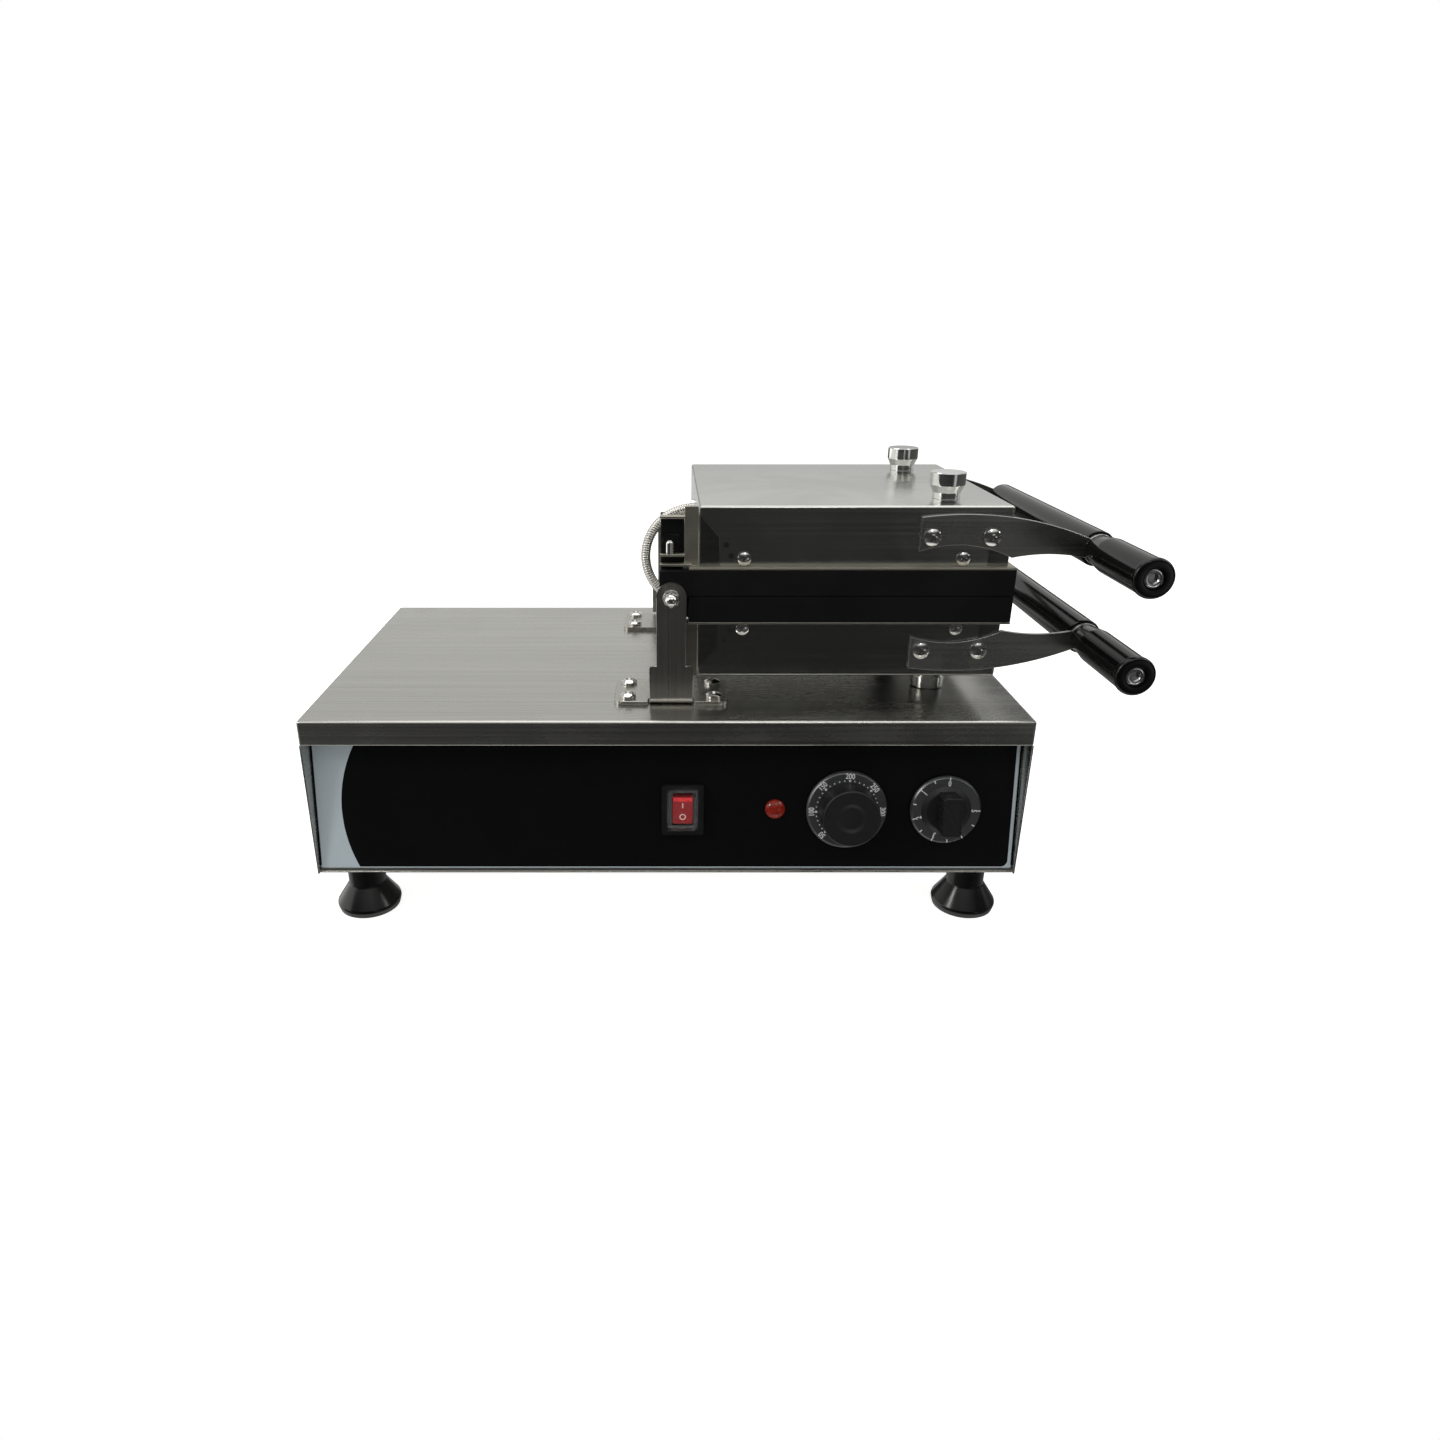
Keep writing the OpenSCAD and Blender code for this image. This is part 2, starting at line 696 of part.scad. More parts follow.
module terminal_block() {
    color("ivory") translate([-base_w / 4, base_d / 8, floor_z + seat]) difference() {
        translate([-terminal_size[0] / 2, -terminal_size[1] / 2, 0]) cube(terminal_size);
        for (i = [-2 : 2]) translate([i * terminal_pitch, 0, terminal_size[2] - terminal_well]) {
            cylinder(h = terminal_well + cut, d = 5, $fn = fine);
            for (s = [-1, 1]) translate([0, s * terminal_size[1] / 2, 0])
                rotate([90, 0, 0]) cylinder(h = 12, d = 4.4, center = true, $fn = fine);
        }
    }
}

gland_x = -base_w / 2 + 60;
gland_z = foot_h + 34;
gland_thread_dia = 16;
gland_bore_dia = 9;
gland_across = 22;
gland_cap_dia = 20;
gland_in = 14;
gland_out = 17;

// Strain relief for the power cord in the rear panel
module cable_gland() {
    color("#202020") translate([gland_x, base_d / 2, gland_z]) rotate([-90, 0, 0]) difference() {
        union() {
            translate([0, 0, -gland_in]) cylinder(h = gland_in + 1, d = gland_thread_dia,
                $fn = fine);
            translate([0, 0, -sheet_t - seat - 4]) hexagon(gland_across, 4);
            translate([0, 0, seat]) hexagon(gland_across, 6);
            rotate_extrude($fn = fine) polygon([[0, 5], [gland_cap_dia / 2, 5],
                [gland_cap_dia / 2, gland_out - 4], [gland_cap_dia / 2 - 2.6, gland_out],
                [0, gland_out]]);
        }
        translate([0, 0, -gland_in - cut]) cylinder(h = gland_in + gland_out + 2 * cut,
            d = gland_bore_dia, $fn = fine);
    }
}

// ------------------------------------------------------------------ hinge

// Front outline of a bracket's upright
module upright_outline() {
    translate([-upright_w / 2, 0]) square([upright_w, upright_step_h - 2.5]);
    translate([-upright_w / 2 + 2.5, 0]) square([upright_w - 5, upright_step_h]);
    for (s = [-1, 1]) translate([s * (upright_w / 2 - 2.5), upright_step_h - 2.5])
        circle(r = 2.5, $fn = fine);
    translate([-neck_w / 2, 0]) square([neck_w, hinge_h]);
    translate([0, hinge_h]) circle(d = neck_w, $fn = 64);
}

// Side outline of the bent tab: y from its outer face inwards, z up from the base
module bend_outline() {
    difference() {
        translate([bend_out_r, bend_out_r]) circle(r = bend_out_r, $fn = 64);
        translate([bend_out_r, bend_out_r]) circle(r = bend_in_r, $fn = 64);
        translate([bend_out_r, -cut]) square([bend_out_r + cut, 2 * bend_out_r + 2 * cut]);
        translate([-cut, bend_out_r]) square([2 * bend_out_r + 2 * cut, bend_out_r + cut]);
    }
    translate([0, bend_out_r - eps]) square([bracket_t, hinge_h + neck_w]);
    translate([bend_out_r - eps, 0]) square([bend_out_r, bracket_t]);
}

relief = 1.2;

// Front bracket: a foot with four holes and an upright folded up from its front edge
module bracket() {
    translate([hinge_x, 0, top_z + seat]) difference() {
        union() {
            translate([0, -bracket_mid_y, 0]) linear_extrude(bracket_t) difference() {
                round_rect(bracket_w, bracket_d, 5);
                translate([0, -bracket_d / 2]) square([upright_w + 2 * relief,
                    2 * bend_out_r + relief], center = true);
            }
            translate([0, -upright_out_y, 0]) intersection() {
                translate([0, bend_out_r * 2, 0]) rotate([90, 0, 0])
                    linear_extrude(bend_out_r * 2 + cut) upright_outline();
                translate([-upright_w / 2 - cut, 0, 0]) rotate([90, 0, 90])
                    linear_extrude(upright_w + 2 * cut) bend_outline();
            }
        }
        translate([0, -upright_out_y - cut, hinge_h - seat]) rotate([-90, 0, 0])
            cylinder(h = bracket_t + 2 * cut, r = pivot_dia / 2 + run, $fn = fine);
        for (sx = [-1, 1], sy = [-1, 1]) translate([sx * bracket_pitch_x / 2,
            -bracket_mid_y + sy * bracket_pitch_y / 2, -cut])
            cylinder(h = bracket_t + 2 * cut, r = screw_dia / 2 + hole_slack, $fn = fine);
    }
}

module front_bracket() { color("gray") bracket(); }

module rear_bracket() { color("gray") mirror([0, 1, 0]) bracket(); }

screw_head_h = 4;
bracket_screw_l = 14;

module bracket_screws() {
    color("gainsboro") bracket_screw_places() translate([0, 0, top_z + bracket_t + 2 * seat])
        pan_screw(screw_dia, screw_head_dia, screw_head_h, bracket_screw_l);
}

module bracket_nuts() {
    color("gainsboro") bracket_screw_places() translate([0, 0, top_z - sheet_t - seat - nut_t])
        difference() {
            hexagon(nut_across, nut_t);
            translate([0, 0, -cut]) cylinder(h = nut_t + 2 * cut, d = screw_dia + 2 * seat,
                $fn = fine);
        }
}

bolt_end_y = upright_out_y + out_washer_t + nut_t;

module pivot_bolts() {
    color("gainsboro") front_and_rear() {
        bar_y(hinge_x, pivot_z, -bolt_end_y, -lug_in_y + slack + eps, pivot_dia);
        translate([hinge_x, -lug_in_y + slack, pivot_z]) rotate([-90, 0, 0])
            hexagon(nut_across, bolt_head_t);
    }
}

// Domed nuts on the outside of the brackets
module pivot_nuts() {
    color("gainsboro") front_and_rear()
        translate([hinge_x, -upright_out_y - out_washer_t - 2 * seat, pivot_z])
        rotate([90, 0, 0]) difference() {
            union() {
                hexagon(nut_across, nut_t);
                translate([0, 0, nut_t - eps]) rotate_extrude($fn = fine) intersection() {
                    translate([0, 0.6]) circle(d = nut_across - 0.6, $fn = 64);
                    square(nut_across);
                }
            }
            translate([0, 0, -cut]) cylinder(h = nut_t + cut + slack, d = pivot_dia + 2 * seat,
                $fn = fine);
        }
}

// A washer outside each upright and one between upright and lug
module pivot_washers() {
    color("gainsboro") front_and_rear() for (w = [[upright_out_y + seat, out_washer_t],
        [lug_out_y + seat, washer_t]]) difference() {
            bar_y(hinge_x, pivot_z, -w[0] - w[1], -w[0], 2 * pivot_dia);
            bar_y(hinge_x, pivot_z, -w[0] - w[1] - cut, -w[0] + cut, pivot_dia + 2 * run);
        }
}

// Conduit from the base top, up and round into the lower cover's hinge side
module feed_conduit() {
    rise_h = hinge_h - feed_up - feed_rise_r;
    color("darkgray") translate([hinge_x + feed_x, feed_y, top_z]) {
        translate([0, 0, -feed_in]) cylinder(h = feed_in + rise_h + eps, d = conduit_dia,
            $fn = 24);
        translate([0, feed_rise_r, rise_h]) rotate([0, -90, 0]) rotate(-90)
            conduit_bend(feed_rise_r, 90);
        bar_y(0, rise_h + feed_rise_r, feed_rise_r - eps, feed_run + eps, conduit_dia);
        translate([feed_turn_r, feed_run, rise_h + feed_rise_r]) rotate(90)
            conduit_bend(feed_turn_r, 90);
        translate([feed_turn_r, feed_run + feed_turn_r, rise_h + feed_rise_r])
            conduit_tail();
    }
}

// Bend of the conduit in the XY plane, from the +X side round the centre
module conduit_bend(r, angle) {
    rotate_extrude(angle = angle, $fn = 96) translate([r, 0]) circle(d = conduit_dia, $fn = 24);
}

// Straight end of a conduit inside a cover's fitting
module conduit_tail() {
    translate([-cut, 0, 0]) rotate([0, 90, 0])
        cylinder(h = cut + tail_l, d = conduit_dia - 2 * seat, $fn = 24);
}

// ------------------------------------------------------------- iron halves

plate_mid = plate_start + plate_l / 2;
groove_w = 3;
waffle_gap = 3;

// Baking face: a round field with raised squares and a drip groove round it
module baking_field() {
    n = floor(field_dia / waffle_pitch / 2);
    side = waffle_pitch - waffle_gap;
    far = field_dia / 2 - side * 0.75;
    translate([plate_mid, 0, plate_gap / 2 - cut]) {
        difference() {
            cylinder(h = field_deep + cut, d = field_dia, $fn = 96);
            for (i = [-n : n], j = [-n : n]) if (norm([i, j]) * waffle_pitch < far)
                translate([i * waffle_pitch - side / 2, j * waffle_pitch - side / 2, cut + 0.6])
                cube([side, side, field_deep]);
        }
        difference() {
            cylinder(h = field_deep / 2 + cut, d = field_dia + 4 * groove_w, $fn = 96);
            translate([0, 0, -cut]) cylinder(h = field_deep + 3 * cut,
                d = field_dia + 2 * groove_w, $fn = 96);
        }
    }
}

lug_root = 8;

// Cast plate with its hinge lugs: lug_y is the outer face of the lugs
module cast_plate(lug_y) {
    difference() {
        union() {
            box([plate_start, -plate_d / 2, plate_gap / 2],
                [plate_start + plate_l, plate_d / 2, plate_t]);
            front_and_rear() {
                box([-lug_r, -lug_y, 0], [plate_start - run, -lug_y + lug_t, lug_top]);
                box([plate_start - cut, -lug_y, plate_gap / 2],
                    [plate_start + eps, -lug_y + lug_t, lug_top]);
                box([plate_start, -lug_y, plate_gap / 2],
                    [plate_start + lug_root, 0, lug_top]);
                bar_y(0, 0, -lug_y, -lug_y + lug_t, 2 * lug_r);
            }
            box([block_start, -block_y0, lug_top - 0.5],
                [spine_start, -block_y0 + block_deep, block_h]);
            hinge_boss();
        }
        front_and_rear() bar_y(0, 0, -lug_y - cut, -lug_y + lug_t + cut, pivot_dia + 2 * run);
        baking_field();
    }
}

boss_top = 42.6;
boss_end = 6;
boss_r = 4;
boss_out = 1.5;

// Rounded boss on the front of a hinge block
module hinge_boss() {
    translate([0, -block_y0 + eps, 0]) rotate([90, 0, 0]) linear_extrude(boss_out) {
        translate([block_start, ledge_b_top]) square([boss_end - block_start,
            boss_top - boss_r - ledge_b_top]);
        translate([block_start + boss_r, ledge_b_top]) square([boss_end - block_start - boss_r,
            boss_top - ledge_b_top]);
        translate([block_start + boss_r, boss_top - boss_r]) circle(r = boss_r, $fn = fine);
    }
}

window_in = 17;
window_side = 18.5;
window_y = cover_d / 2 - window_side;
sheet_y = max(plate_d, cover_d) / 2;

// Sheet on the back of a cast plate; in front at the hinge it carries a post with ledges
module mounting_sheet() {
    face_y = cover_d / 2;
    difference() {
        union() {
            difference() {
                box([plate_start, -sheet_y, sheet_w0],
                    [plate_start + plate_l, sheet_y, sheet_w0 + mount_t]);
                box([plate_start + window_in, -window_y, sheet_w0 - cut],
                    [plate_start + plate_l - window_in, window_y, sheet_w0 + mount_t + cut]);
            }
            box([spine_start + slack, -face_y, sheet_w0],
                [cover_start - slack, -face_y + cover_t, cover_h - slack]);
            for (top = [ledge_a_top, ledge_b_top, ledge_c_top])
                box([ledge_end, -face_y - ledge_out, top - ledge_t],
                    [spine_start + 2 * slack, -face_y + cover_t, top]);
            box([plate_start - eps, -face_y - ledge_out, sheet_w0],
                [plate_start + 2, -face_y + cover_t, ledge_c_top]);
            box([spine_start, -face_y - ledge_out, ledge_c_top - ledge_t],
                [plate_start + 2, -face_y + cover_t, ledge_c_top]);
            front_and_rear() for (x = cover_screw_x)
                box([x - tab_w / 2, -face_y + cover_t + seat, sheet_w0],
                    [x + tab_w / 2, -face_y + 2 * cover_t, sheet_w0 + tab_h]);
        }
        front_and_rear() for (x = cover_screw_x)
            bar_y(x, cover_screw_up, -face_y, -face_y + 3 * cover_t, small_dia + 2 * hole_slack);
    }
}

// Places where the cover is drilled in its end wall for conduits
module conduit_hole(y, up) {
    translate([cover_start - cut, y, up]) rotate([0, 90, 0])
        cylinder(h = cover_t + 2 * cut, d = fitting_thread_dia + 2 * hole_slack, $fn = fine);
}

module iron_cover(feed) {
    difference() {
        box([cover_start, -cover_d / 2, cover_w0],
            [cover_start + cover_l, cover_d / 2, cover_h]);
        box([cover_start + cover_t, -cover_d / 2 + cover_t, cover_w0 - cut],
            [cover_start + cover_l - cover_t, cover_d / 2 - cover_t, cover_h - cover_t]);
        front_and_rear() {
            for (x = cover_screw_x) bar_y(x, cover_screw_up, -cover_d / 2 - cut,
                -cover_d / 2 + cover_t + cut, small_dia + 2 * hole_slack);
            for (x = [screw_a_x, screw_b_x]) bar_y(x, arm_screw_up, -cover_d / 2 - cut,
                -cover_d / 2 + cover_t + cut, screw_dia + 2 * hole_slack);
            translate([post_x, -post_pitch / 2, cover_h - cover_t - cut])
                cylinder(h = cover_t + 2 * cut, d = screw_dia + 2 * hole_slack, $fn = fine);
        }
        conduit_hole(loop_y, loop_r);
        if (feed) conduit_hole(feed_wall_y, feed_up);
    }
}

heater_runs = 4;
heater_pitch = 44;
heater_end_x = 200;
heater_near_x = 62;

// Tubular heating element: parallel runs joined by round bends
module heater() {
    z = plate_t + seat + heater_dia / 2;
    for (i = [0 : heater_runs - 1]) {
        y = (i - (heater_runs - 1) / 2) * heater_pitch;
        x0 = (i == 0 || i == heater_runs - 1) ? plate_start + window_in + 3 : heater_near_x;
        translate([x0, y, z]) rotate([0, 90, 0])
            cylinder(h = heater_end_x - x0, d = heater_dia, $fn = 24);
    }
    for (i = [0 : heater_runs - 2]) {
        at_far = i % 2 == 0;
        translate([at_far ? heater_end_x : heater_near_x, (i + 1 - heater_runs / 2) * heater_pitch, z])
            rotate([0, 0, at_far ? -90 : 90]) rotate_extrude(angle = 180, $fn = 64)
            translate([heater_pitch / 2, 0]) circle(d = heater_dia, $fn = 24);
    }
}

nut_pocket_dia = 18;

// Blanket between the heating tube and the cover, with pockets for the post nuts
module insulation() {
    blanket_top = cover_h - cover_t - slack;
    difference() {
        box([cover_start + blanket_in, -cover_d / 2 + blanket_in,
            plate_t + seat + heater_dia + slack],
            [cover_start + cover_l - blanket_in, cover_d / 2 - blanket_in, blanket_top]);
        front_and_rear() translate([post_x, -post_pitch / 2, blanket_top - post_stud_l - 2])
            cylinder(h = post_stud_l + 2 + cut, d = nut_pocket_dia, $fn = fine);
    }
}

module cover_screws() {
    front_and_rear() for (x = cover_screw_x) translate([x, -cover_d / 2 - seat, cover_screw_up])
        rotate([90, 0, 0]) pan_screw(small_dia, small_head_dia, 3.2, 7);
}

arm_end_r = 11;
arm_start = 175.4;
arm_foot_up = 20;
arm_crown_up = 65;
arm_top = [207, 57.8];          // crest of the long arc above
arm_top_r = 238;
arm_low_a = [203, 36];          // crest of the arc below the screws
arm_low_a_r = 86;
arm_low_b = [268, 29.5];        // crest of the arc below the free end
arm_low_b_r = 130;

// Outline of a handle arm: one long arc above, two shallow arcs below, a round end
module arm_outline() {
    intersection() {
        translate(arm_top - [0, arm_top_r]) circle(r = arm_top_r, $fn = 200);
        difference() {
            translate([arm_start, arm_foot_up])
                square([handle_x - arm_start, arm_crown_up - arm_foot_up]);
            translate(arm_low_a - [0, arm_low_a_r]) circle(r = arm_low_a_r, $fn = 200);
            translate(arm_low_b - [0, arm_low_b_r]) circle(r = arm_low_b_r, $fn = 200);
        }
    }
    translate([handle_x, handle_up]) circle(r = arm_end_r, $fn = 64);
}

module arms() {
    front_and_rear() translate([0, -arm_y, 0]) rotate([90, 0, 0]) linear_extrude(arm_t)
        difference() {
            arm_outline();
            for (x = [screw_a_x, screw_b_x]) translate([x, arm_screw_up])
                circle(r = screw_dia / 2 + hole_slack, $fn = fine);
            translate([handle_x, handle_up]) circle(r = rod_dia / 2 + hole_slack, $fn = fine);
        }
}

module arm_screws() {
    front_and_rear() for (x = [screw_a_x, screw_b_x])
        translate([x, -arm_out_y - seat, arm_screw_up]) rotate([90, 0, 0])
        pan_screw(screw_dia, screw_head_dia, screw_head_h, 9);
}

module middle_grip() {
    difference() {
        bar_y(handle_x, handle_up, -arm_y + seat, arm_y - seat, grip_dia);
        bar_y(handle_x, handle_up, -arm_y - cut, arm_y + cut, rod_dia + 2 * run);
    }
}

flare_start = 4;
flare_l = 16;
rim_out = 0.6;
head_deep = 6;

// Front grip: narrow at the arm, flared to its full width, with a bevelled end rim
module front_grip() {
    r = grip_dia / 2;
    end = front_grip_l;
    translate([handle_x, -arm_out_y - seat, handle_up]) rotate([90, 0, 0])
        rotate_extrude($fn = 64) polygon([[rod_dia / 2 + run, 0], [grip_neck_dia / 2, 0],
            [grip_neck_dia / 2, flare_start], [r - 0.5, flare_start + flare_l - 3],
            [r, flare_start + flare_l], [r, end - 5], [r + rim_out, end - 4],
            [r + rim_out, end - 1.5], [r - 2, end], [rod_head_dia / 2 + slack, end],
            [rod_head_dia / 2 + slack, end - head_deep], [rod_dia / 2 + run, end - head_deep]]);
}

// Long socket bolt through both arms and grips, with a turned-over end at the rear
module handle_bolt() {
    head_y = -arm_out_y - front_grip_l + head_deep - seat;
    difference() {
        union() {
            bar_y(handle_x, handle_up, head_y - 1, arm_out_y + 1, rod_dia);
            bar_y(handle_x, handle_up, head_y - head_deep + 1, head_y - 2 * seat, rod_head_dia);
            translate([handle_x, arm_out_y + seat, handle_up]) rotate([-90, 0, 0])
                cylinder(h = 3.5, d1 = rod_head_dia, d2 = rod_head_dia - 3, $fn = fine);
        }
        translate([handle_x, head_y - head_deep, handle_up]) rotate([-90, 0, 0]) hexagon(6, 4.5);
    }
}

post_cone_h = 5.5;
post_stud_l = 6;

// Standing post: body, cone and wide head, with its stud and nut under the cover
module post() {
    h = post_end - cover_h - seat;
    translate([0, 0, cover_h + seat]) rotate_extrude($fn = 64) polygon([[0, 0],
        [post_dia / 2, 0], [post_dia / 2, h - post_head_h - post_cone_h],
        [post_head_dia / 2, h - post_head_h], [post_head_dia / 2, h - 0.8],
        [post_head_dia / 2 - 0.8, h], [0, h]]);
    translate([0, 0, cover_h - cover_t - post_stud_l]) cylinder(h = cover_t + post_stud_l + 1,
        d = screw_dia, $fn = fine);
    translate([0, 0, cover_h - cover_t - seat - nut_t]) hexagon(nut_across, nut_t);
}

module posts() { front_and_rear() translate([post_x, -post_pitch / 2, 0]) post(); }

pin_x = -1.1;
pin_h = 9.8;
pin_y = cover_d / 2 + ledge_out - pin_dia / 2;

module stop_pin() {
    translate([pin_x, -pin_y, ledge_b_top + seat]) rotate_extrude($fn = fine) intersection() {
        union() {
            square([pin_dia / 2, pin_h - pin_dia / 2]);
            translate([0, pin_h - pin_dia / 2]) circle(d = pin_dia, $fn = fine);
        }
        square([pin_dia, pin_h]);
    }
}

fitting_thread_dia = conduit_dia + 3;
fitting_across = conduit_dia + 6;
collar_t = 2.5;

// Conduit fitting in a cover's end wall: collar outside, nut inside
module conduit_fitting(y, up) {
    translate([cover_start, y, up]) rotate([0, 90, 0]) difference() {
        union() {
            translate([0, 0, -collar_t]) cylinder(h = collar_t - seat, d = fitting_across, $fn = fine);
            translate([0, 0, -collar_t]) cylinder(h = collar_t + cover_t + 5,
                d = fitting_thread_dia, $fn = fine);
            translate([0, 0, cover_t + seat]) hexagon(fitting_across, 3);
        }
        translate([0, 0, -collar_t - cut]) cylinder(h = collar_t + cover_t + 5 + 2 * cut,
            r = conduit_dia / 2 + hole_slack, $fn = fine);
    }
}

// Flexible conduit between the two covers: half a turn round the hinge line
module hinge_conduit() {
    color("darkgray") upper_half() {
        translate([cover_start, loop_y, 0]) rotate([90, 0, 0]) rotate(90)
            conduit_bend(loop_r, 180);
        for (s = [-1, 1]) translate([cover_start, loop_y, s * loop_r]) conduit_tail();
    }
}

module lower_plate() { color("#141414") lower_half() cast_plate(lug_mid_y - lug_gap); }
module lower_mounting_sheet() { color("silver") lower_half() mounting_sheet(); }
module lower_cover() { color("gray") lower_half() iron_cover(true); }
module lower_heater() { color("dimgray") lower_half() heater(); }
module lower_insulation() { color("white") lower_half() insulation(); }
module lower_cover_screws() { color("gainsboro") lower_half() cover_screws(); }
module lower_arms() { color("gray") lower_half() arms(); }
module lower_arm_screws() { color("gainsboro") lower_half() arm_screws(); }
module lower_middle_grip() { color("#101010") lower_half() middle_grip(); }
module lower_front_grip() { color("#101010") lower_half() front_grip(); }
module lower_handle_bolt() { color("silver") lower_half() handle_bolt(); }
module lower_posts() { color("gainsboro") lower_half() posts(); }
module lower_stop_pin() { color("gainsboro") lower_half() stop_pin(); }
module lower_conduit_fittings() {
    color("gainsboro") lower_half() {
        conduit_fitting(loop_y, loop_r);
        conduit_fitting(feed_wall_y, feed_up);
    }
}

module upper_plate() { color("#141414") upper_half() cast_plate(lug_out_y); }
module upper_mounting_sheet() { color("silver") upper_half() mounting_sheet(); }
module upper_cover() { color("gray") upper_half() iron_cover(false); }
module upper_heater() { color("dimgray") upper_half() heater(); }
module upper_insulation() { color("white") upper_half() insulation(); }
module upper_cover_screws() { color("gainsboro") upper_half() cover_screws(); }
module upper_arms() { color("gray") upper_half() arms(); }
module upper_arm_screws() { color("gainsboro") upper_half() arm_screws(); }
module upper_middle_grip() { color("#101010") upper_half() middle_grip(); }
module upper_front_grip() { color("#101010") upper_half() front_grip(); }
module upper_handle_bolt() { color("silver") upper_half() handle_bolt(); }
module upper_posts() { color("gainsboro") upper_half() posts(); }
module upper_stop_pin() { color("gainsboro") upper_half() stop_pin(); }
module upper_conduit_fitting() {
    color("gainsboro") upper_half() conduit_fitting(loop_y, loop_r);
}

// --------------------------------------------------------- whole machine

// middle of the whole machine's box, counted from the middle of the base
mid_x = (hinge_x + handle_x + grip_dia / 2 + rim_out - base_w / 2) / 2;
mid_y = (base_d / 2 + gland_out - (arm_out_y + seat + front_grip_l)) / 2;

placed() base_top();
placed() left_side_panel();
placed() right_side_panel();
placed() rear_panel();
placed() bottom_plate();
placed() case_screws();
placed() control_panel();
placed() panel_film();
placed() feet();
placed() foot_studs();
placed() switch_body();
placed() switch_boot();
placed() power_rocker();
placed() lamp_housing();
placed() heat_lamp();
placed() thermostat();
placed() temperature_shaft();
placed() temperature_knob();
placed() timer();
placed() timer_shaft();
placed() timer_knob();
placed() terminal_block();
placed() cable_gland();
placed() front_bracket();
placed() rear_bracket();
placed() bracket_screws();
placed() bracket_nuts();
placed() pivot_bolts();
placed() pivot_nuts();
placed() pivot_washers();
placed() feed_conduit();
placed() lower_plate();
placed() lower_mounting_sheet();
placed() lower_cover();
placed() lower_heater();
placed() lower_insulation();
placed() lower_cover_screws();
placed() lower_arms();
placed() lower_arm_screws();
placed() lower_middle_grip();
placed() lower_front_grip();
placed() lower_handle_bolt();
placed() lower_posts();
placed() lower_stop_pin();
placed() lower_conduit_fittings();
placed() hinge_conduit();
placed() upper_plate();
placed() upper_mounting_sheet();
placed() upper_cover();
placed() upper_heater();
placed() upper_insulation();
placed() upper_cover_screws();
placed() upper_arms();
placed() upper_arm_screws();
placed() upper_middle_grip();
placed() upper_front_grip();
placed() upper_handle_bolt();
placed() upper_posts();
placed() upper_stop_pin();
placed() upper_conduit_fitting();
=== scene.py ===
"""Dresses the turn-over waffle cone maker: detailed pieces, finishes, floor, lights and camera.

Every piece is drawn in millimetres in the frame of its own sub-assembly, as the part's source
draws it, and is then placed over its CAD node in metres.
"""

import logging
import math
from collections.abc import Callable, Iterable, Sequence
from dataclasses import dataclass
from enum import Enum

import bmesh
import bpy
from mathutils import Matrix, Vector


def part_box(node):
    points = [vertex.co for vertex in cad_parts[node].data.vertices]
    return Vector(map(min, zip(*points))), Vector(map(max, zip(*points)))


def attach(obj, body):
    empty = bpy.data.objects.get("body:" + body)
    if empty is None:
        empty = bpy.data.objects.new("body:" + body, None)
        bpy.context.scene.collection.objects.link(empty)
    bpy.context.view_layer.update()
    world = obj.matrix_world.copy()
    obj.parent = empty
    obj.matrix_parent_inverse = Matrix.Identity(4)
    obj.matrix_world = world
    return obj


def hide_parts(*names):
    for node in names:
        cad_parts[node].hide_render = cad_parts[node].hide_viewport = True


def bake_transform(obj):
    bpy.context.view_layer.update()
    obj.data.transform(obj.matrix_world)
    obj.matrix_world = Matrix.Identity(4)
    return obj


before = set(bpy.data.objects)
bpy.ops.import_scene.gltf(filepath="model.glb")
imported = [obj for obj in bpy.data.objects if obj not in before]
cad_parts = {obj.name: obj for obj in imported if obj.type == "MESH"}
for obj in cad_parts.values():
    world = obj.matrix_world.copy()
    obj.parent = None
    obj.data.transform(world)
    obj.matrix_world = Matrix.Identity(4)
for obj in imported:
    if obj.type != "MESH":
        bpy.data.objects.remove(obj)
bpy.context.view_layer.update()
LOG = logging.getLogger("waffle_iron")
MM = 0.001
PRINT_DEPTH = 0.06
LARGE_HEAD = (12.0, 4.0)
SMALL_HEAD = (9.5, 3.2)
WHITE = (1.0, 1.0, 1.0)
Point = tuple[float, float]
Triple = tuple[float, float, float]
Corners = tuple[Vector, Vector]
Socket = bpy.types.NodeSocket


# ------------------------------------------------------------------ places


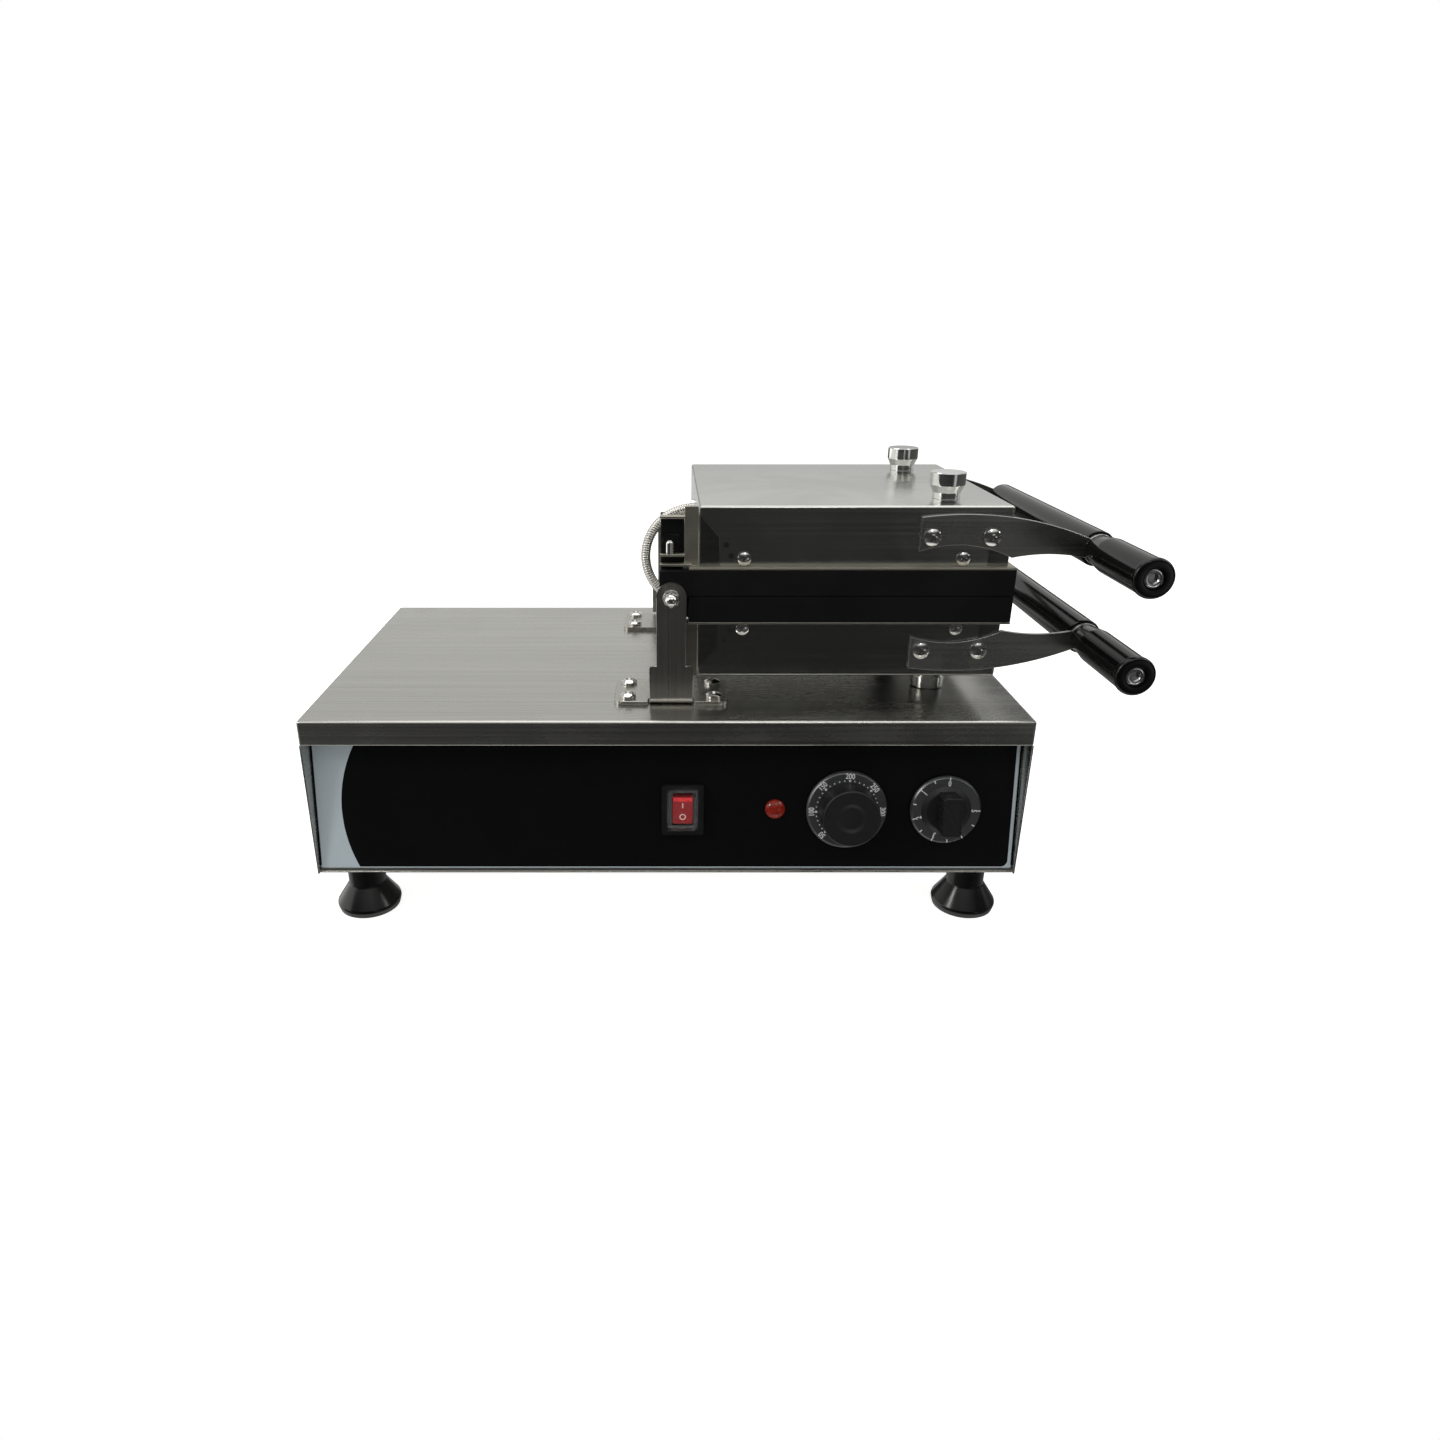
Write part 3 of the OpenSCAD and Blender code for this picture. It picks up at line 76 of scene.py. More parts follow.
@dataclass(frozen=True)
class Layout:
    """Where the sub-assemblies stand, in millimetres of the base's own frame."""

    half_w: float = 265.0
    half_d: float = 151.5
    foot_h: float = 43.0
    lip_z: float = 149.0
    top_z: float = 168.0
    hinge_x: float = 3.5
    pivot_z: float = 250.0
    panel_foot_in: float = 3.0
    panel_tilt: float = math.atan(16.0 / 106.0)
    control_up: float = 50.8
    switch_x: float = 12.3
    lamp_x: float = 81.6
    temperature_x: float = 135.0
    timer_x: float = 209.0

    def base(self) -> Matrix:
        """Returns the base's frame, with its origin on the floor under the base's middle."""
        low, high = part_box("base_top")
        middle = (low + high) / 2
        return Matrix.Translation((middle.x, middle.y, 0.0)) @ Matrix.Scale(MM, 4)

    def panel(self, across: float = 0.0, up: float = 0.0) -> Matrix:
        """Places a point of the control panel's face.

        Args:
            across: distance to the right of the panel's middle.
            up: distance up the sloping panel from its foot.

        Returns:
            A frame with x across, y up the panel and z out of its face.
        """
        foot = Matrix.Translation((0.0, -self.half_d + self.panel_foot_in, self.foot_h))
        lean = Matrix.Rotation(-self.panel_tilt, 4, "X")
        upright = Matrix.Rotation(math.pi / 2, 4, "X")
        return self.base() @ foot @ lean @ Matrix.Translation((across, 0.0, up)) @ upright

    def iron(self, side: "Side") -> Matrix:
        """Places one iron half.

        Args:
            side: the upper half, or the lower one, which is its mirror image.

        Returns:
            The half's frame, with its origin on the hinge line.
        """
        hinge = self.base() @ Matrix.Translation((self.hinge_x, 0.0, self.pivot_z))
        return hinge @ Matrix.Scale(side.value, 4, (0.0, 0.0, 1.0))


class Side(Enum):
    """The two iron halves, valued by the direction that each grows from the plate joint."""

    UPPER = 1.0
    LOWER = -1.0

    @property
    def prefix(self) -> str:
        """Returns the start of the half's node names."""
        return "upper_" if self is Side.UPPER else "lower_"

    @property
    def body(self) -> str:
        """Returns the name of the CAD body that the half rides on."""
        return "upper_iron" if self is Side.UPPER else "lower_iron"


class Grain(Enum):
    """Directions of the brushing on sheet and turned steel, as the scales of its noise."""

    LENGTHWISE = ((3.0, 520.0, 520.0), (520.0, 4.0, 520.0))
    UPRIGHT = ((520.0, 520.0, 4.0), (520.0, 520.0, 4.0))
    TURNED = ((14.0, 14.0, 900.0), (14.0, 14.0, 900.0))


LAYOUT = Layout()


# ------------------------------------------------------------------ shapes


class Shape:
    """A bmesh that is drawn in millimetres and becomes one piece of the machine."""

    def __init__(self) -> None:
        """Starts an empty shape."""
        self.bm = bmesh.new()

    def absorb(self, other: "Shape", place: Matrix | None = None) -> "Shape":
        """Adds a copy of another shape.

        Args:
            other: the shape to add, which stays as it is.
            place: where the copy goes, in this shape's frame.

        Returns:
            This shape.
        """
        mesh = bpy.data.meshes.new("absorbed")
        other.bm.to_mesh(mesh)
        if place is not None:
            mesh.transform(place)
            if place.determinant() < 0:
                mesh.flip_normals()
        self.bm.from_mesh(mesh)
        bpy.data.meshes.remove(mesh)
        return self

    def moved(self, place: Matrix) -> "Shape":
        """Moves the whole shape, and turns its faces out again if the move mirrors it.

        Args:
            place: where it goes.

        Returns:
            This shape.
        """
        bmesh.ops.transform(self.bm, matrix=place, verts=self.bm.verts)
        if place.determinant() < 0:
            bmesh.ops.reverse_faces(self.bm, faces=self.bm.faces)
        return self

    def closed(self, distance: float = 1e-3) -> "Shape":
        """Merges doubled points and turns every face outwards.

        Args:
            distance: points closer than this are merged.

        Returns:
            This shape.
        """
        bmesh.ops.remove_doubles(self.bm, verts=self.bm.verts, dist=distance)
        bmesh.ops.recalc_face_normals(self.bm, faces=self.bm.faces)
        return self

    def softened(
        self,
        width: float,
        segments: int = 2,
        angle: float = 30.0,
        shortest: float = 0.0,
        keep: Callable[[Vector], bool] | None = None,
    ) -> "Shape":
        """Rounds the sharp edges.

        Args:
            width: how far the rounding reaches from each edge.
            segments: faces across each rounding.
            angle: the smallest angle between two faces that counts as sharp, in degrees.
            shortest: edges shorter than this stay sharp.
            keep: says of an edge's middle whether that edge is rounded.

        Returns:
            This shape.
        """
        self.bm.normal_update()
        sharp = []
        for edge in self.bm.edges:
            if len(edge.link_faces) != 2 or edge.calc_length() < shortest:
                continue
            if edge.calc_face_angle(0.0) < math.radians(angle):
                continue
            if keep is None or keep((edge.verts[0].co + edge.verts[1].co) / 2):
                sharp.append(edge)
        bmesh.ops.bevel(
            self.bm, geom=sharp, offset=width, offset_type="OFFSET", segments=segments,
            profile=0.5, affect="EDGES", material=-1, clamp_overlap=False,
        )
        return self

    def carved(self, cutter: "Shape") -> "Shape":
        """Cuts another shape out of this one.

        Args:
            cutter: the shape to cut out, which stays as it is.

        Returns:
            This shape.
        """
        pair = [as_object("carved", self), as_object("cutter", cutter)]
        knife = pair[0].modifiers.new("carve", "BOOLEAN")
        knife.operation, knife.solver, knife.object = "DIFFERENCE", "EXACT", pair[1]
        bpy.context.view_layer.update()
        seen = pair[0].evaluated_get(bpy.context.evaluated_depsgraph_get())
        self.bm.clear()
        self.bm.from_mesh(seen.to_mesh())
        seen.to_mesh_clear()
        for thing in pair:
            mesh = thing.data
            bpy.data.objects.remove(thing)
            bpy.data.meshes.remove(mesh)
        return self


def as_object(name: str, shape: Shape) -> bpy.types.Object:
    """Makes a plain object from a shape.

    Args:
        name: the object's name.
        shape: the shape, which stays as it is.

    Returns:
        The object, at the origin and linked to the scene.
    """
    mesh = bpy.data.meshes.new(name)
    shape.bm.to_mesh(mesh)
    thing = bpy.data.objects.new(name, mesh)
    bpy.context.scene.collection.objects.link(thing)
    return thing


def cuboid(low: Sequence[float], high: Sequence[float]) -> Shape:
    """Draws a box.

    Args:
        low: its lowest corner.
        high: its highest corner.

    Returns:
        The box.
    """
    shape = Shape()
    size = Vector(high) - Vector(low)
    bmesh.ops.create_cube(shape.bm, size=1.0)
    bmesh.ops.scale(shape.bm, vec=size, verts=shape.bm.verts)
    bmesh.ops.translate(shape.bm, vec=(Vector(low) + Vector(high)) / 2, verts=shape.bm.verts)
    return shape


def prism(sides: int, across: float, low: float, high: float) -> Shape:
    """Draws a regular prism along Z.

    Args:
        sides: how many flats it has.
        across: its width over two opposite flats.
        low: height of its lower face.
        high: height of its upper face.

    Returns:
        The prism.
    """
    shape = Shape()
    radius = across / 2 / math.cos(math.pi / sides)
    bmesh.ops.create_cone(
        shape.bm, cap_ends=True, segments=sides, radius1=radius, radius2=radius, depth=high - low
    )
    bmesh.ops.translate(shape.bm, vec=(0.0, 0.0, (low + high) / 2), verts=shape.bm.verts)
    return shape


def lathe(outline: Sequence[Point], steps: int = 64) -> Shape:
    """Spins an outline round Z.

    Args:
        outline: points of (radius, height); where it starts and ends off the axis, the two
            ends are joined, so it may also be the section of a ring.
        steps: faces round the shape.

    Returns:
        The closed shape.
    """
    shape = Shape()
    verts = [shape.bm.verts.new((radius, 0.0, height)) for radius, height in outline]
    pairs = list(zip(verts, verts[1:]))
    if outline[0][0] > 0.0 and outline[-1][0] > 0.0:
        pairs.append((verts[-1], verts[0]))
    edges = [shape.bm.edges.new(pair) for pair in pairs]
    bmesh.ops.spin(
        shape.bm, geom=verts + edges, cent=(0.0, 0.0, 0.0), axis=(0.0, 0.0, 1.0),
        dvec=(0.0, 0.0, 0.0), angle=2 * math.pi, steps=steps, use_merge=True,
        use_duplicate=False,
    )
    return shape.closed()


def arc(middle: Point, radius: float, start: float, end: float, steps: int) -> list[Point]:
    """Lists the points of an arc.

    Args:
        middle: its centre.
        radius: its radius.
        start: angle of its first point, in degrees.
        end: angle of its last point, in degrees.
        steps: how many pieces it is cut into.

    Returns:
        The points, from first to last.
    """
    turns = [math.radians(start + (end - start) * i / steps) for i in range(steps + 1)]
    return [(middle[0] + radius * math.cos(a), middle[1] + radius * math.sin(a)) for a in turns]


def round_corners(
    width: float, height: float, radius: float, middle: Point = (0.0, 0.0)
) -> list[Point]:
    """Lists the points of a rectangle with round corners.

    Args:
        width: its full width.
        height: its full height.
        radius: radius of its corners.
        middle: its centre.

    Returns:
        The points, anticlockwise.
    """
    points = []
    for turn, (sx, sy) in enumerate(((1, 1), (-1, 1), (-1, -1), (1, -1))):
        corner = (
            middle[0] + sx * (width / 2 - radius),
            middle[1] + sy * (height / 2 - radius),
        )
        points += arc(corner, radius, 90.0 * turn, 90.0 * turn + 90.0, 6)
    return points


def plate(outlines: Iterable[Sequence[Point]], low: float, high: float) -> Shape:
    """Draws a flat plate.

    Args:
        outlines: its outer outline, and those of its holes.
        low: height of its lower face.
        high: height of its upper face.

    Returns:
        The closed plate.
    """
    shape = Shape()
    edges = []
    for outline in outlines:
        verts = [shape.bm.verts.new((x, y, low)) for x, y in outline]
        edges += [shape.bm.edges.new(pair) for pair in zip(verts, verts[1:] + verts[:1])]
    bmesh.ops.triangle_fill(shape.bm, edges=edges, use_beauty=True, use_dissolve=False)
    raised = bmesh.ops.extrude_face_region(shape.bm, geom=list(shape.bm.faces))
    tops = [v for v in raised["geom"] if isinstance(v, bmesh.types.BMVert)]
    bmesh.ops.translate(shape.bm, vec=(0.0, 0.0, high - low), verts=tops)
    bmesh.ops.recalc_face_normals(shape.bm, faces=shape.bm.faces)
    return shape


def open_box(low: Sequence[float], high: Sequence[float], wall: float, fold: float) -> Shape:
    """Draws a folded sheet box that is open at its lowest face.

    Args:
        low: its lowest corner.
        high: its highest corner.
        wall: thickness of the sheet.
        fold: radius of the folds.

    Returns:
        The closed shell.
    """
    shape = cuboid(low, high)
    floor = [f for f in shape.bm.faces if f.calc_center_median().z < low[2] + 1e-6]
    bmesh.ops.delete(shape.bm, geom=floor, context="FACES_ONLY")
    shape.softened(fold, segments=4, keep=lambda middle: middle.z > low[2] + 1e-3)
    bmesh.ops.recalc_face_normals(shape.bm, faces=shape.bm.faces)
    bmesh.ops.solidify(shape.bm, geom=list(shape.bm.faces), thickness=wall)
    return shape


def lettering(text: str, height: float) -> Shape:
    """Draws plain figures as thin raised print, centred on the origin.

    Args:
        text: the figures.
        height: nominal height of the type.

    Returns:
        The print, as deep as all print.
    """
    curve = bpy.data.curves.new("figures", "FONT")
    curve.body, curve.size, curve.offset = text, height, 0.02 * height
    curve.align_x, curve.align_y = "CENTER", "CENTER"
    curve.resolution_u = 3
    holder = bpy.data.objects.new("figures", curve)
    bpy.context.scene.collection.objects.link(holder)
    bpy.context.view_layer.update()
    mesh = bpy.data.meshes.new_from_object(holder)
    shape = Shape()
    shape.bm.from_mesh(mesh)
    bpy.data.objects.remove(holder)
    bpy.data.curves.remove(curve)
    bpy.data.meshes.remove(mesh)
    bmesh.ops.remove_doubles(shape.bm, verts=shape.bm.verts, dist=1e-4)
    raised = bmesh.ops.extrude_face_region(shape.bm, geom=list(shape.bm.faces))
    tops = [v for v in raised["geom"] if isinstance(v, bmesh.types.BMVert)]
    bmesh.ops.translate(shape.bm, vec=(0.0, 0.0, PRINT_DEPTH), verts=tops)
    bmesh.ops.recalc_face_normals(shape.bm, faces=shape.bm.faces)
    return shape


def from_node(node: str, place: Matrix) -> Shape:
    """Copies a CAD node and joins its loose triangles.

    Args:
        node: the node's name.
        place: the frame that the copy is measured in.

    Returns:
        The merged copy, in millimetres of that frame.
    """
    shape = Shape()
    shape.bm.from_mesh(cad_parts[node].data)
    bmesh.ops.transform(shape.bm, matrix=place.inverted(), verts=shape.bm.verts)
    if place.determinant() < 0:
        bmesh.ops.reverse_faces(shape.bm, faces=shape.bm.faces)
    bmesh.ops.remove_doubles(shape.bm, verts=shape.bm.verts, dist=2e-3)
    bmesh.ops.dissolve_limit(
        shape.bm, angle_limit=math.radians(0.4), use_dissolve_boundaries=False,
        verts=shape.bm.verts, edges=shape.bm.edges, delimit={"NORMAL"},
    )
    return shape


def pan_screw(head_d: float, head_h: float) -> Shape:
    """Draws the head of a cross-recessed pan screw, with its seat at z = 0.

    Args:
        head_d: diameter of the head.
        head_h: height of the head.

    Returns:
        The head with its recess.
    """
    dome = head_d * 0.9
    rim = math.degrees(math.acos(head_d / 2 / dome))
    crown = arc((0.0, head_h - dome), dome, rim, 90.0, 10)
    skirt = [(0.0, 0.0), (head_d / 2 - 0.3, 0.0), (head_d / 2, 0.3)]
    head = lathe(skirt + [(max(r, 0.0), h) for r, h in crown[:-1]] + [(0.0, head_h)], steps=40)
    reach, slot = head_d * 0.29, head_d * 0.085
    for turn in (0.0, math.pi / 2):
        blade = cuboid((-reach, -slot, head_h - 2.1), (reach, slot, head_h + 1.0))
        for vert in blade.bm.verts:
            if vert.co.z < head_h:
                vert.co.x *= 0.45
        head.carved(blade.moved(Matrix.Rotation(turn, 4, "Z")))
    return head


def acorn_nut(across: float, height: float) -> Shape:
    """Draws a domed nut with its seat at z = 0.

    Args:
        across: its width over the flats.
        height: height of its hexagon.

    Returns:
        The nut.
    """
    nut = prism(6, across, 0.0, height).softened(0.5, segments=3)
    ball = (across - 0.6) / 2
    foot, middle = height - 0.6, height + 0.3
    dome = arc((0.0, middle), ball, 0.0, 90.0, 12)[:-1]
    return nut.absorb(lathe([(0.0, foot), (ball, foot), *dome, (0.0, middle + ball)]))


def corrugated(length: float, radius: float, pitch: float = 2.0, groove: float = 0.42) -> Shape:
    """Draws a straight wound hose along Z from 0.

    Args:
        length: its length.
        radius: its outer radius.
        pitch: distance between two turns of the strip.
        groove: depth of the groove between them.

    Returns:
        The hose, with its ends closed.
    """
    outline: list[Point] = [(0.0, 0.0)]
    count = int(length / pitch * 5)
    for i in range(count + 1):
        along = length * i / count
        dip = 0.5 + 0.5 * math.cos(2 * math.pi * along / pitch)
        outline.append((radius - groove * dip**2, along))
    return lathe(outline + [(0.0, length)], steps=20)


# ---------------------------------------------------------------- finishes


class Graph:
    """A short way to add nodes to a node tree."""

    def __init__(self, tree: bpy.types.NodeTree) -> None:
        """Takes the tree that nodes are added to."""
        self.tree = tree

    def feed(self, node: bpy.types.Node, inputs: dict) -> None:
        """Sets or links a node's inputs.

        Args:
            node: the node.
            inputs: values or sockets, by the input's name or number.
        """
        for key, value in inputs.items():
            if isinstance(value, Socket):
                self.tree.links.new(value, node.inputs[key])
            else:
                node.inputs[key].default_value = value

    def add(self, kind: str, inputs: dict | None = None, **settings: object) -> bpy.types.Node:
        """Adds a node.

        Args:
            kind: the node's type name.
            inputs: values or sockets for its inputs, by name or number.
            settings: its own settings.

        Returns:
            The node.
        """
        node = self.tree.nodes.new(kind)
        for name, value in settings.items():
            setattr(node, name, value)
        self.feed(node, inputs or {})
        return node

    def sum(self, operation: str, *terms: float | Socket) -> Socket:
        """Returns the result of a Math node that takes the terms in order."""
        return self.add("ShaderNodeMath", dict(enumerate(terms)), operation=operation).outputs[0]

    def tint(self, factor: Socket, low: object, high: object) -> Socket:
        """Returns a mix of two colours, each a socket or a colour with its alpha."""
        mix = self.add("ShaderNodeMix", {"Factor": factor, 6: low, 7: high}, data_type="RGBA")
        return mix.outputs[2]

    def level(self, factor: float | Socket, low: float | Socket, high: float | Socket) -> Socket:
        """Returns a mix of two plain values."""
        mix = self.add("ShaderNodeMix", {"Factor": factor, 2: low, 3: high}, data_type="FLOAT")
        return mix.outputs[0]

    def step(self, value: Socket, start: float | Socket, end: float | Socket) -> Socket:
        """Returns a smooth step from 0 to 1 as a value goes from start to end."""
        ends = {"Value": value, "From Min": start, "From Max": end}
        return self.add("ShaderNodeMapRange", ends, interpolation_type="SMOOTHSTEP").outputs[0]

    def bump(self, height: Socket, strength: float, distance: float) -> Socket:
        """Returns a normal that a height bends."""
        inputs = {"Height": height, "Strength": strength, "Distance": distance}
        return self.add("ShaderNodeBump", inputs).outputs[0]


Sockets = dict[str, Socket]


def shader_group(
    name: str, inputs: dict[str, tuple[str, object]], outputs: Iterable[str],
    build: Callable[[Graph, Sockets], Sockets],
) -> bpy.types.NodeTree:
    """Makes a shader node group, once.

    Args:
        name: the group's name.
        inputs: socket type and default value, by input name.
        outputs: names of the values that it puts out.
        build: draws the inside from the input sockets, and returns the sockets to put out.

    Returns:
        The group.
    """
    if name in bpy.data.node_groups:
        return bpy.data.node_groups[name]
    tree = bpy.data.node_groups.new(name, "ShaderNodeTree")
    for label, (kind, value) in inputs.items():
        socket = tree.interface.new_socket(label, in_out="INPUT", socket_type=kind)
        socket.default_value = value
    for label in outputs:
        tree.interface.new_socket(label, in_out="OUTPUT", socket_type="NodeSocketFloat")
    graph = Graph(tree)
    entry = graph.add("NodeGroupInput")
    graph.add("NodeGroupOutput", build(graph, {label: entry.outputs[label] for label in inputs}))
    return tree


def brushed_lines() -> bpy.types.NodeTree:
    """Returns the group for brushing: streaks along one way, turned on faces that look along X."""

    def build(graph: Graph, given: Sockets) -> Sockets:
        """Draws a coarse and a fine set of streaks.

        Args:
            graph: the group's inside.
            given: the sockets of its inputs.

        Returns:
            The sockets of its outputs.
        """
        where = graph.add("ShaderNodeTexCoord")
        facing = graph.add("ShaderNodeSeparateXYZ", {0: where.outputs["Normal"]})
        size = graph.sum("ABSOLUTE", facing.outputs[0])
        scale = graph.add("ShaderNodeMix", {
            "Factor": graph.sum("GREATER_THAN", size, 0.8), 4: given["Along"], 5: given["Side"],
        }, data_type="VECTOR")
        spread = graph.add("ShaderNodeVectorMath", {
            0: where.outputs["Object"], 1: scale.outputs[1],
        }, operation="MULTIPLY")
        coarse = graph.add("ShaderNodeTexNoise", {
            "Vector": spread.outputs[0], "Scale": 1.0, "Detail": 3.0, "Roughness": 0.62,
        })
        double = graph.add("ShaderNodeVectorMath", {
            0: spread.outputs[0], 1: (2.7, 3.1, 3.1),
        }, operation="MULTIPLY")
        fine = graph.add("ShaderNodeTexNoise", {
            "Vector": double.outputs[0], "Scale": 1.0, "Detail": 1.0,
        })
        height = graph.level(0.45, coarse.outputs[0], fine.outputs[0])
        return {"Height": height, "Streaks": coarse.outputs[0]}

    along, side = Grain.LENGTHWISE.value
    inputs = {"Along": ("NodeSocketVector", along), "Side": ("NodeSocketVector", side)}
    return shader_group("brushed_lines", inputs, ("Height", "Streaks"), build)


def handling_marks() -> bpy.types.NodeTree:
    """Returns the group for soft cloudy wipe marks, as a mask from 0 to 1."""

    def build(graph: Graph, given: Sockets) -> Sockets:
        """Draws the clouds and sharpens them into marks.

        Args:
            graph: the group's inside.
            given: the sockets of its inputs.

        Returns:
            The sockets of its outputs.
        """
        where = graph.add("ShaderNodeTexCoord")
        cloud = graph.add("ShaderNodeTexNoise", {
            "Vector": where.outputs["Object"], "Scale": given["Scale"], "Detail": 4.0,
            "Roughness": 0.6, "Distortion": 0.8,
        })
        return {"Mask": graph.step(cloud.outputs[0], given["From"], given["To"])}

    values = {"Scale": 14.0, "From": 0.38, "To": 0.68}
    inputs = {label: ("NodeSocketFloat", value) for label, value in values.items()}
    return shader_group("handling_marks", inputs, ("Mask",), build)


def fine_grain() -> bpy.types.NodeTree:
    """Returns the group for the even grain of mouldings, castings and print."""

    def build(graph: Graph, given: Sockets) -> Sockets:
        """Draws the grain.

        Args:
            graph: the group's inside.
            given: the sockets of its inputs.

        Returns:
            The sockets of its outputs.
        """
        where = graph.add("ShaderNodeTexCoord")
        noise = graph.add("ShaderNodeTexNoise", {
            "Vector": where.outputs["Object"], "Scale": given["Scale"], "Detail": 2.0,
            "Roughness": 0.5,
        })
        return {"Height": noise.outputs[0]}

    inputs = {"Scale": ("NodeSocketFloat", 1800.0)}
    return shader_group("fine_grain", inputs, ("Height",), build)


def start_material(name: str) -> tuple[bpy.types.Material, Graph, bpy.types.Node]:
    """Starts a material.

    Args:
        name: its name.

    Returns:
        The material, its graph, and its one Principled shader.
    """
    material = bpy.data.materials.new(name)
    material.use_nodes = True
    material.node_tree.nodes.clear()
    graph = Graph(material.node_tree)
    shader = graph.add("ShaderNodeBsdfPrincipled")
    graph.add("ShaderNodeOutputMaterial", {"Surface": shader.outputs[0]})
    return material, graph, shader


def lit(colour: Triple, gain: float = 1.0) -> tuple[float, float, float, float]:
    """Returns a colour with its alpha, made lighter or darker by a factor."""
    return (colour[0] * gain, colour[1] * gain, colour[2] * gain, 1.0)


@dataclass(frozen=True)
class SteelFinish:
    """Bare steel, brushed along a grain and dulled here and there by handling."""

    name: str
    slot: str
    colour: Triple = (0.60, 0.595, 0.56)
    roughness: float = 0.2
    haze: float = 0.06
    contrast: float = 0.14
    relief: float = 0.000014
    grain: Grain = Grain.LENGTHWISE
    marks: float = 14.0
    streak_dulling: float = 0.06

    def build(self) -> bpy.types.Material:
        """Returns the material."""
        material, graph, shader = start_material(self.name)
        along, side = self.grain.value
        lines = graph.add(
            "ShaderNodeGroup", {"Along": along, "Side": side}, node_tree=brushed_lines()
        )
        marks = graph.add("ShaderNodeGroup", {"Scale": self.marks}, node_tree=handling_marks())
        tone = graph.add("ShaderNodeMapRange", {
            "Value": lines.outputs["Streaks"], "From Min": 0.3, "From Max": 0.7,
        }).outputs[0]
        dark = lit(self.colour, 1 - self.contrast)
        pale = lit(self.colour, 1 + self.contrast / 2)
        dull = graph.level(marks.outputs["Mask"], self.roughness, self.roughness + self.haze)
        graph.feed(shader, {
            "Metallic": 1.0,
            "Base Color": graph.tint(tone, dark, pale),
            "Roughness": graph.sum("MULTIPLY_ADD", tone, self.streak_dulling, dull),
            "Normal": graph.bump(lines.outputs["Height"], 0.35, self.relief),
        })
        return material


@dataclass(frozen=True)
class MouldedFinish:
    """Plastic, paint or print with a fine even grain, faintly dulled by handling."""

    name: str
    slot: str
    colour: Triple
    roughness: float = 0.35
    haze: float = 0.12
    grain: float = 1800.0
    relief: float = 0.00002
    mottle: float = 0.12
    specular: float = 0.5
    metallic: float = 0.0
    marks: float = 24.0

    def build(self) -> bpy.types.Material:
        """Returns the material."""
        material, graph, shader = start_material(self.name)
        grain = graph.add("ShaderNodeGroup", {"Scale": self.grain}, node_tree=fine_grain())
        marks = graph.add("ShaderNodeGroup", {"Scale": self.marks}, node_tree=handling_marks())
        dark, pale = lit(self.colour, 1 - self.mottle), lit(self.colour, 1 + self.mottle)
        dull = graph.level(marks.outputs["Mask"], self.roughness, self.roughness + self.haze)
        graph.feed(shader, {
            "Specular IOR Level": self.specular,
            "Metallic": self.metallic,
            "Base Color": graph.tint(grain.outputs["Height"], dark, pale),
            "Roughness": dull,
            "Normal": graph.bump(grain.outputs["Height"], 0.5, self.relief),
        })
        return material


@dataclass(frozen=True)
class LensFinish:
    """Clear or dyed plastic with small cells moulded on its inside."""

    name: str
    slot: str
    colour: Triple
    roughness: float = 0.12
    transmission: float = 0.0
    cells: float = 900.0
    relief: float = 0.0002
    glow: float = 0.0
    ior: float = 1.46
    specular: float = 0.5
    cell_shade: float = 0.35

    def build(self) -> bpy.types.Material:
        """Returns the material."""
        material, graph, shader = start_material(self.name)
        where = graph.add("ShaderNodeTexCoord")
        cell = graph.add("ShaderNodeTexVoronoi", {
            "Vector": where.outputs["Object"], "Scale": self.cells,
        }).outputs["Distance"]
        graph.feed(shader, {
            "Roughness": self.roughness,
            "Transmission Weight": self.transmission,
            "IOR": self.ior,
            "Specular IOR Level": self.specular,
            "Emission Strength": self.glow,
            "Normal": graph.bump(cell, 0.6, self.relief),
        })
        if self.transmission:
            graph.feed(shader, {"Base Color": lit(self.colour)})
        else:
            shade = graph.tint(cell, lit(self.colour), lit(self.colour, self.cell_shade))
            graph.feed(shader, {"Base Color": shade, "Emission Color": shade})
        return material


Finish = SteelFinish | MouldedFinish | LensFinish

SHEET = SteelFinish("brushed_sheet", "brushed_sheet", roughness=0.21, relief=0.000006)
COVER = SteelFinish(
    "cover_sheet", "dark_brushed", colour=(0.585, 0.59, 0.56), roughness=0.16, marks=9.0,
)
# A darker copy of the cover steel for the lower half: painted shade.
COVER_SHADED = SteelFinish(
    "lower_cover_shaded_sheet", "dark_brushed", colour=(0.41, 0.41, 0.39), roughness=0.16, marks=9.0,
)
ARM = SteelFinish("arm_plate", "dark_brushed", colour=(0.56, 0.56, 0.54), roughness=0.23, haze=0.05)
BRACKET = SteelFinish(
    "bracket_plate", "dark_brushed", colour=(0.56, 0.55, 0.51), roughness=0.26, grain=Grain.UPRIGHT,
)
CHROME = SteelFinish(
    "bright_screw", "bright_fastener", colour=(0.84, 0.83, 0.80), roughness=0.05, haze=0.03,
    contrast=0.03, relief=0.000002,
)
ZINC = SteelFinish(
    "zinc_bolt", "turned_steel", colour=(0.50, 0.50, 0.51), roughness=0.12, haze=0.05,
    contrast=0.05, relief=0.000006,
)
MILL = SteelFinish(
    "mill_sheet", "dark_brushed", colour=(0.50, 0.48, 0.41), roughness=0.42, haze=0.08,
    contrast=0.1,
)
# A darker copy of the mill sheet for the lower half: painted shade.
MILL_SHADED = SteelFinish(
    "lower_mill_shaded_sheet", "dark_brushed", colour=(0.36, 0.35, 0.30), roughness=0.42, haze=0.08,
    contrast=0.1,
)
TURNED = SteelFinish(
    "turned_steel", "turned_steel", colour=(0.82, 0.82, 0.80), roughness=0.07, haze=0.03,
    contrast=0.06, relief=0.000002, grain=Grain.TURNED,
)
FLAP = SteelFinish(
    "flap_sheet", "dark_brushed", colour=(0.31, 0.31, 0.30), roughness=0.15, relief=0.00001,
)
